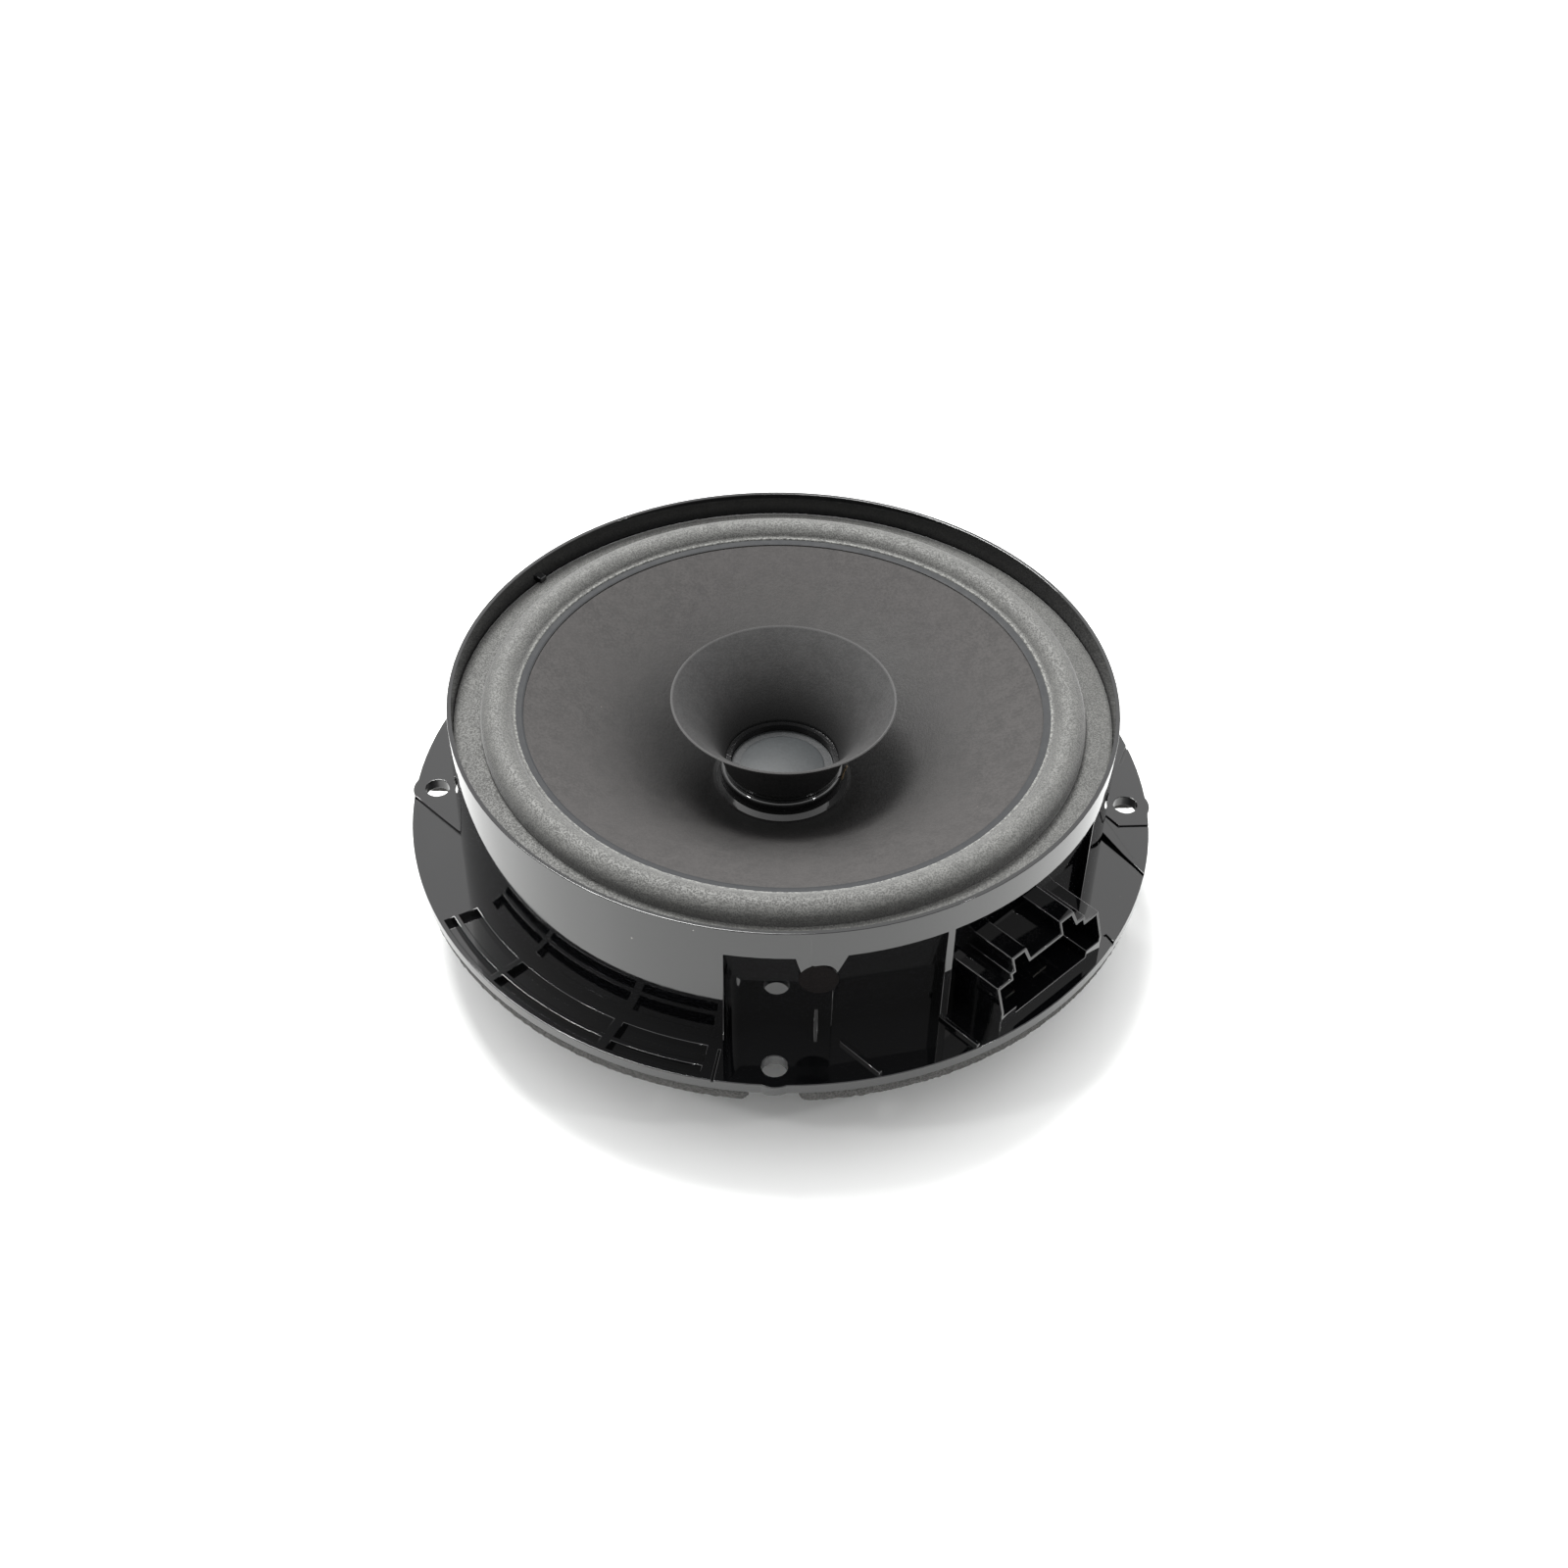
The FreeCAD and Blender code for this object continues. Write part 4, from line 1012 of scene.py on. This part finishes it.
class LOUDSPEAKER_OT_motor(Operator):
    """Plates, magnet, rivets, vent screen and glue lines of the motor"""

    bl_idname = "loudspeaker.motor"
    bl_label = "Motor"

    def execute(self, context):
        s = sizes()
        for node, name, width in (
            ("top_plate", "front_plate", s.steel_round),
            ("t_yoke", "yoke_forging", s.steel_round),
            ("motor_rivets", "rivet_heads", s.steel_round),
            ("ferrite_magnet", "magnet_ring", s.ferrite_round),
        ):
            piece = softened_copy(node, name, width)
            seat(piece, CHASSIS, SLOT_OF[node], node)
        finish_nodes("magnet_glue_front", "magnet_glue_rear", "vent_screen")
        finish_nodes("spider_glue_ring", "surround_glue_ring")
        return {"FINISHED"}


class LOUDSPEAKER_OT_terminals(Operator):
    """Terminal blades and the braided leads to the cone"""

    bl_idname = "loudspeaker.terminals"
    bl_label = "Terminals and leads"

    def execute(self, context):
        s = sizes()
        for sign in ("positive", "negative"):
            blade = softened_copy(f"terminal_blade_{sign}", f"blade_{sign}", BLADE_ROUND)
            seat(blade, CHASSIS, "tinned_brass", f"terminal_blade_{sign}")
            node = f"tinsel_lead_{sign}"
            bm = bmesh.new()
            bm.from_mesh(frame["nodes"][node].data)
            bmesh.ops.remove_doubles(bm, verts=bm.verts, dist=0.002 * MM)
            lead = mesh_object(bm, f"flexible_lead_{sign}")
            seat(lead, CHASSIS, "braided_tinsel", node)
            lead.parent = None
            reach = [vert.co.xy.length for vert in lead.data.vertices]
            blend_by_radius(lead, max(reach) - s.lead_held, min(reach) + s.lead_held)
        return {"FINISHED"}


# Name, place in metres, size, power in watts and tint.
LAMPS = (
    ("softbox", (-0.35, 0.75, 1.7), 0.7, 62.0, (1.0, 1.0, 0.99)),
    ("lamp_left", (-1.30, -0.65, 1.3), 0.16, 6.0, (1.0, 1.0, 1.0)),
    ("lamp_right", (1.30, -0.65, 1.3), 0.11, 4.0, (1.0, 1.0, 1.0)),
)


def soft_room():
    """A bright white room that is dimmer behind the camera."""
    world = bpy.data.worlds.new("soft_room")
    world.use_nodes = True
    tree = world.node_tree
    split = tree.nodes.new("ShaderNodeSeparateXYZ")
    tree.links.new(tree.nodes.new("ShaderNodeTexCoord").outputs["Generated"], split.inputs[0])
    lean = math_node(tree, "ADD", split.outputs["Y"], math_node(tree, "MULTIPLY", split.outputs["Z"], 0.8))
    side = math_node(tree, "MULTIPLY", split.outputs["X"], -0.25)
    amount = ramp(tree, math_node(tree, "ADD", lean, side), -0.75, 0.65)
    strength = spread(tree, amount, 0.45, 1.75)
    background = tree.nodes["Background"]
    background.inputs["Color"].default_value = (1.0, 1.0, 1.0, 1.0)
    tree.links.new(strength, background.inputs["Strength"])
    return world


class LOUDSPEAKER_OT_stage(Operator):
    """Pale floor, soft lights and the camera"""

    bl_idname = "loudspeaker.stage"
    bl_label = "Stage"

    def execute(self, context):
        scene = context.scene
        bm = bmesh.new()
        bmesh.ops.create_grid(bm, x_segments=2, y_segments=2, size=FLOOR_HALF)
        bmesh.ops.translate(bm, verts=bm.verts, vec=(0, 0, CAD_BOX[0][2]))
        floor = mesh_object(bm, "table_top")
        floor.data.materials.append(floor_material())
        scene.world = soft_room()
        for name, place, size, power, tint in LAMPS:
            light = bpy.data.lights.new(name, "AREA")
            light.size = size
            light.energy = power
            light.color = tint
            lamp = bpy.data.objects.new(name, light)
            scene.collection.objects.link(lamp)
            lamp.location = place
            lamp.rotation_euler = (-Vector(place)).to_track_quat("-Z", "Y").to_euler()
        camera = bpy.data.cameras.new("camera")
        camera.lens = CAMERA_LENS
        camera.sensor_width = CAMERA_SENSOR
        camera.clip_start = CAMERA_CLIP
        holder = bpy.data.objects.new("camera", camera)
        scene.collection.objects.link(holder)
        turn = Matrix.Rotation(math.pi / 2 - CAMERA_DIP, 3, "X") @ Matrix.Rotation(CAMERA_ROLL, 3, "Z")
        place = Vector(CAMERA_PLACE) * MM
        holder.matrix_world = Matrix.Translation(place) @ turn.to_4x4()
        scene.camera = holder
        scene.view_settings.view_transform = "Standard"
        return {"FINISHED"}


STEPS = (
    LOUDSPEAKER_OT_basket,
    LOUDSPEAKER_OT_gaskets,
    LOUDSPEAKER_OT_surround,
    LOUDSPEAKER_OT_spider,
    LOUDSPEAKER_OT_cones,
    LOUDSPEAKER_OT_voice_coil,
    LOUDSPEAKER_OT_motor,
    LOUDSPEAKER_OT_terminals,
    LOUDSPEAKER_OT_stage,
)


class LOUDSPEAKER_PT_panel(Panel):
    """Lists the steps that build the loudspeaker"""

    bl_label = "Loudspeaker"
    bl_idname = "LOUDSPEAKER_PT_panel"
    bl_space_type = "VIEW_3D"
    bl_region_type = "UI"
    bl_category = "Loudspeaker"

    def draw(self, context):
        for step in STEPS:
            self.layout.operator(step.bl_idname)


CLASSES = (LoudspeakerSizes, LoudspeakerColours) + STEPS + (LOUDSPEAKER_PT_panel,)


def register():
    for item in CLASSES:
        bpy.utils.register_class(item)
    bpy.types.Scene.loudspeaker_sizes = PointerProperty(type=LoudspeakerSizes)
    bpy.types.Scene.loudspeaker_colours = PointerProperty(type=LoudspeakerColours)


def unregister():
    del bpy.types.Scene.loudspeaker_colours
    del bpy.types.Scene.loudspeaker_sizes
    for item in reversed(CLASSES):
        bpy.utils.unregister_class(item)


def main():
    register()
    for step in STEPS:
        group, name = step.bl_idname.split(".")
        getattr(getattr(bpy.ops, group), name)()


if __name__ == "__main__":
    main()
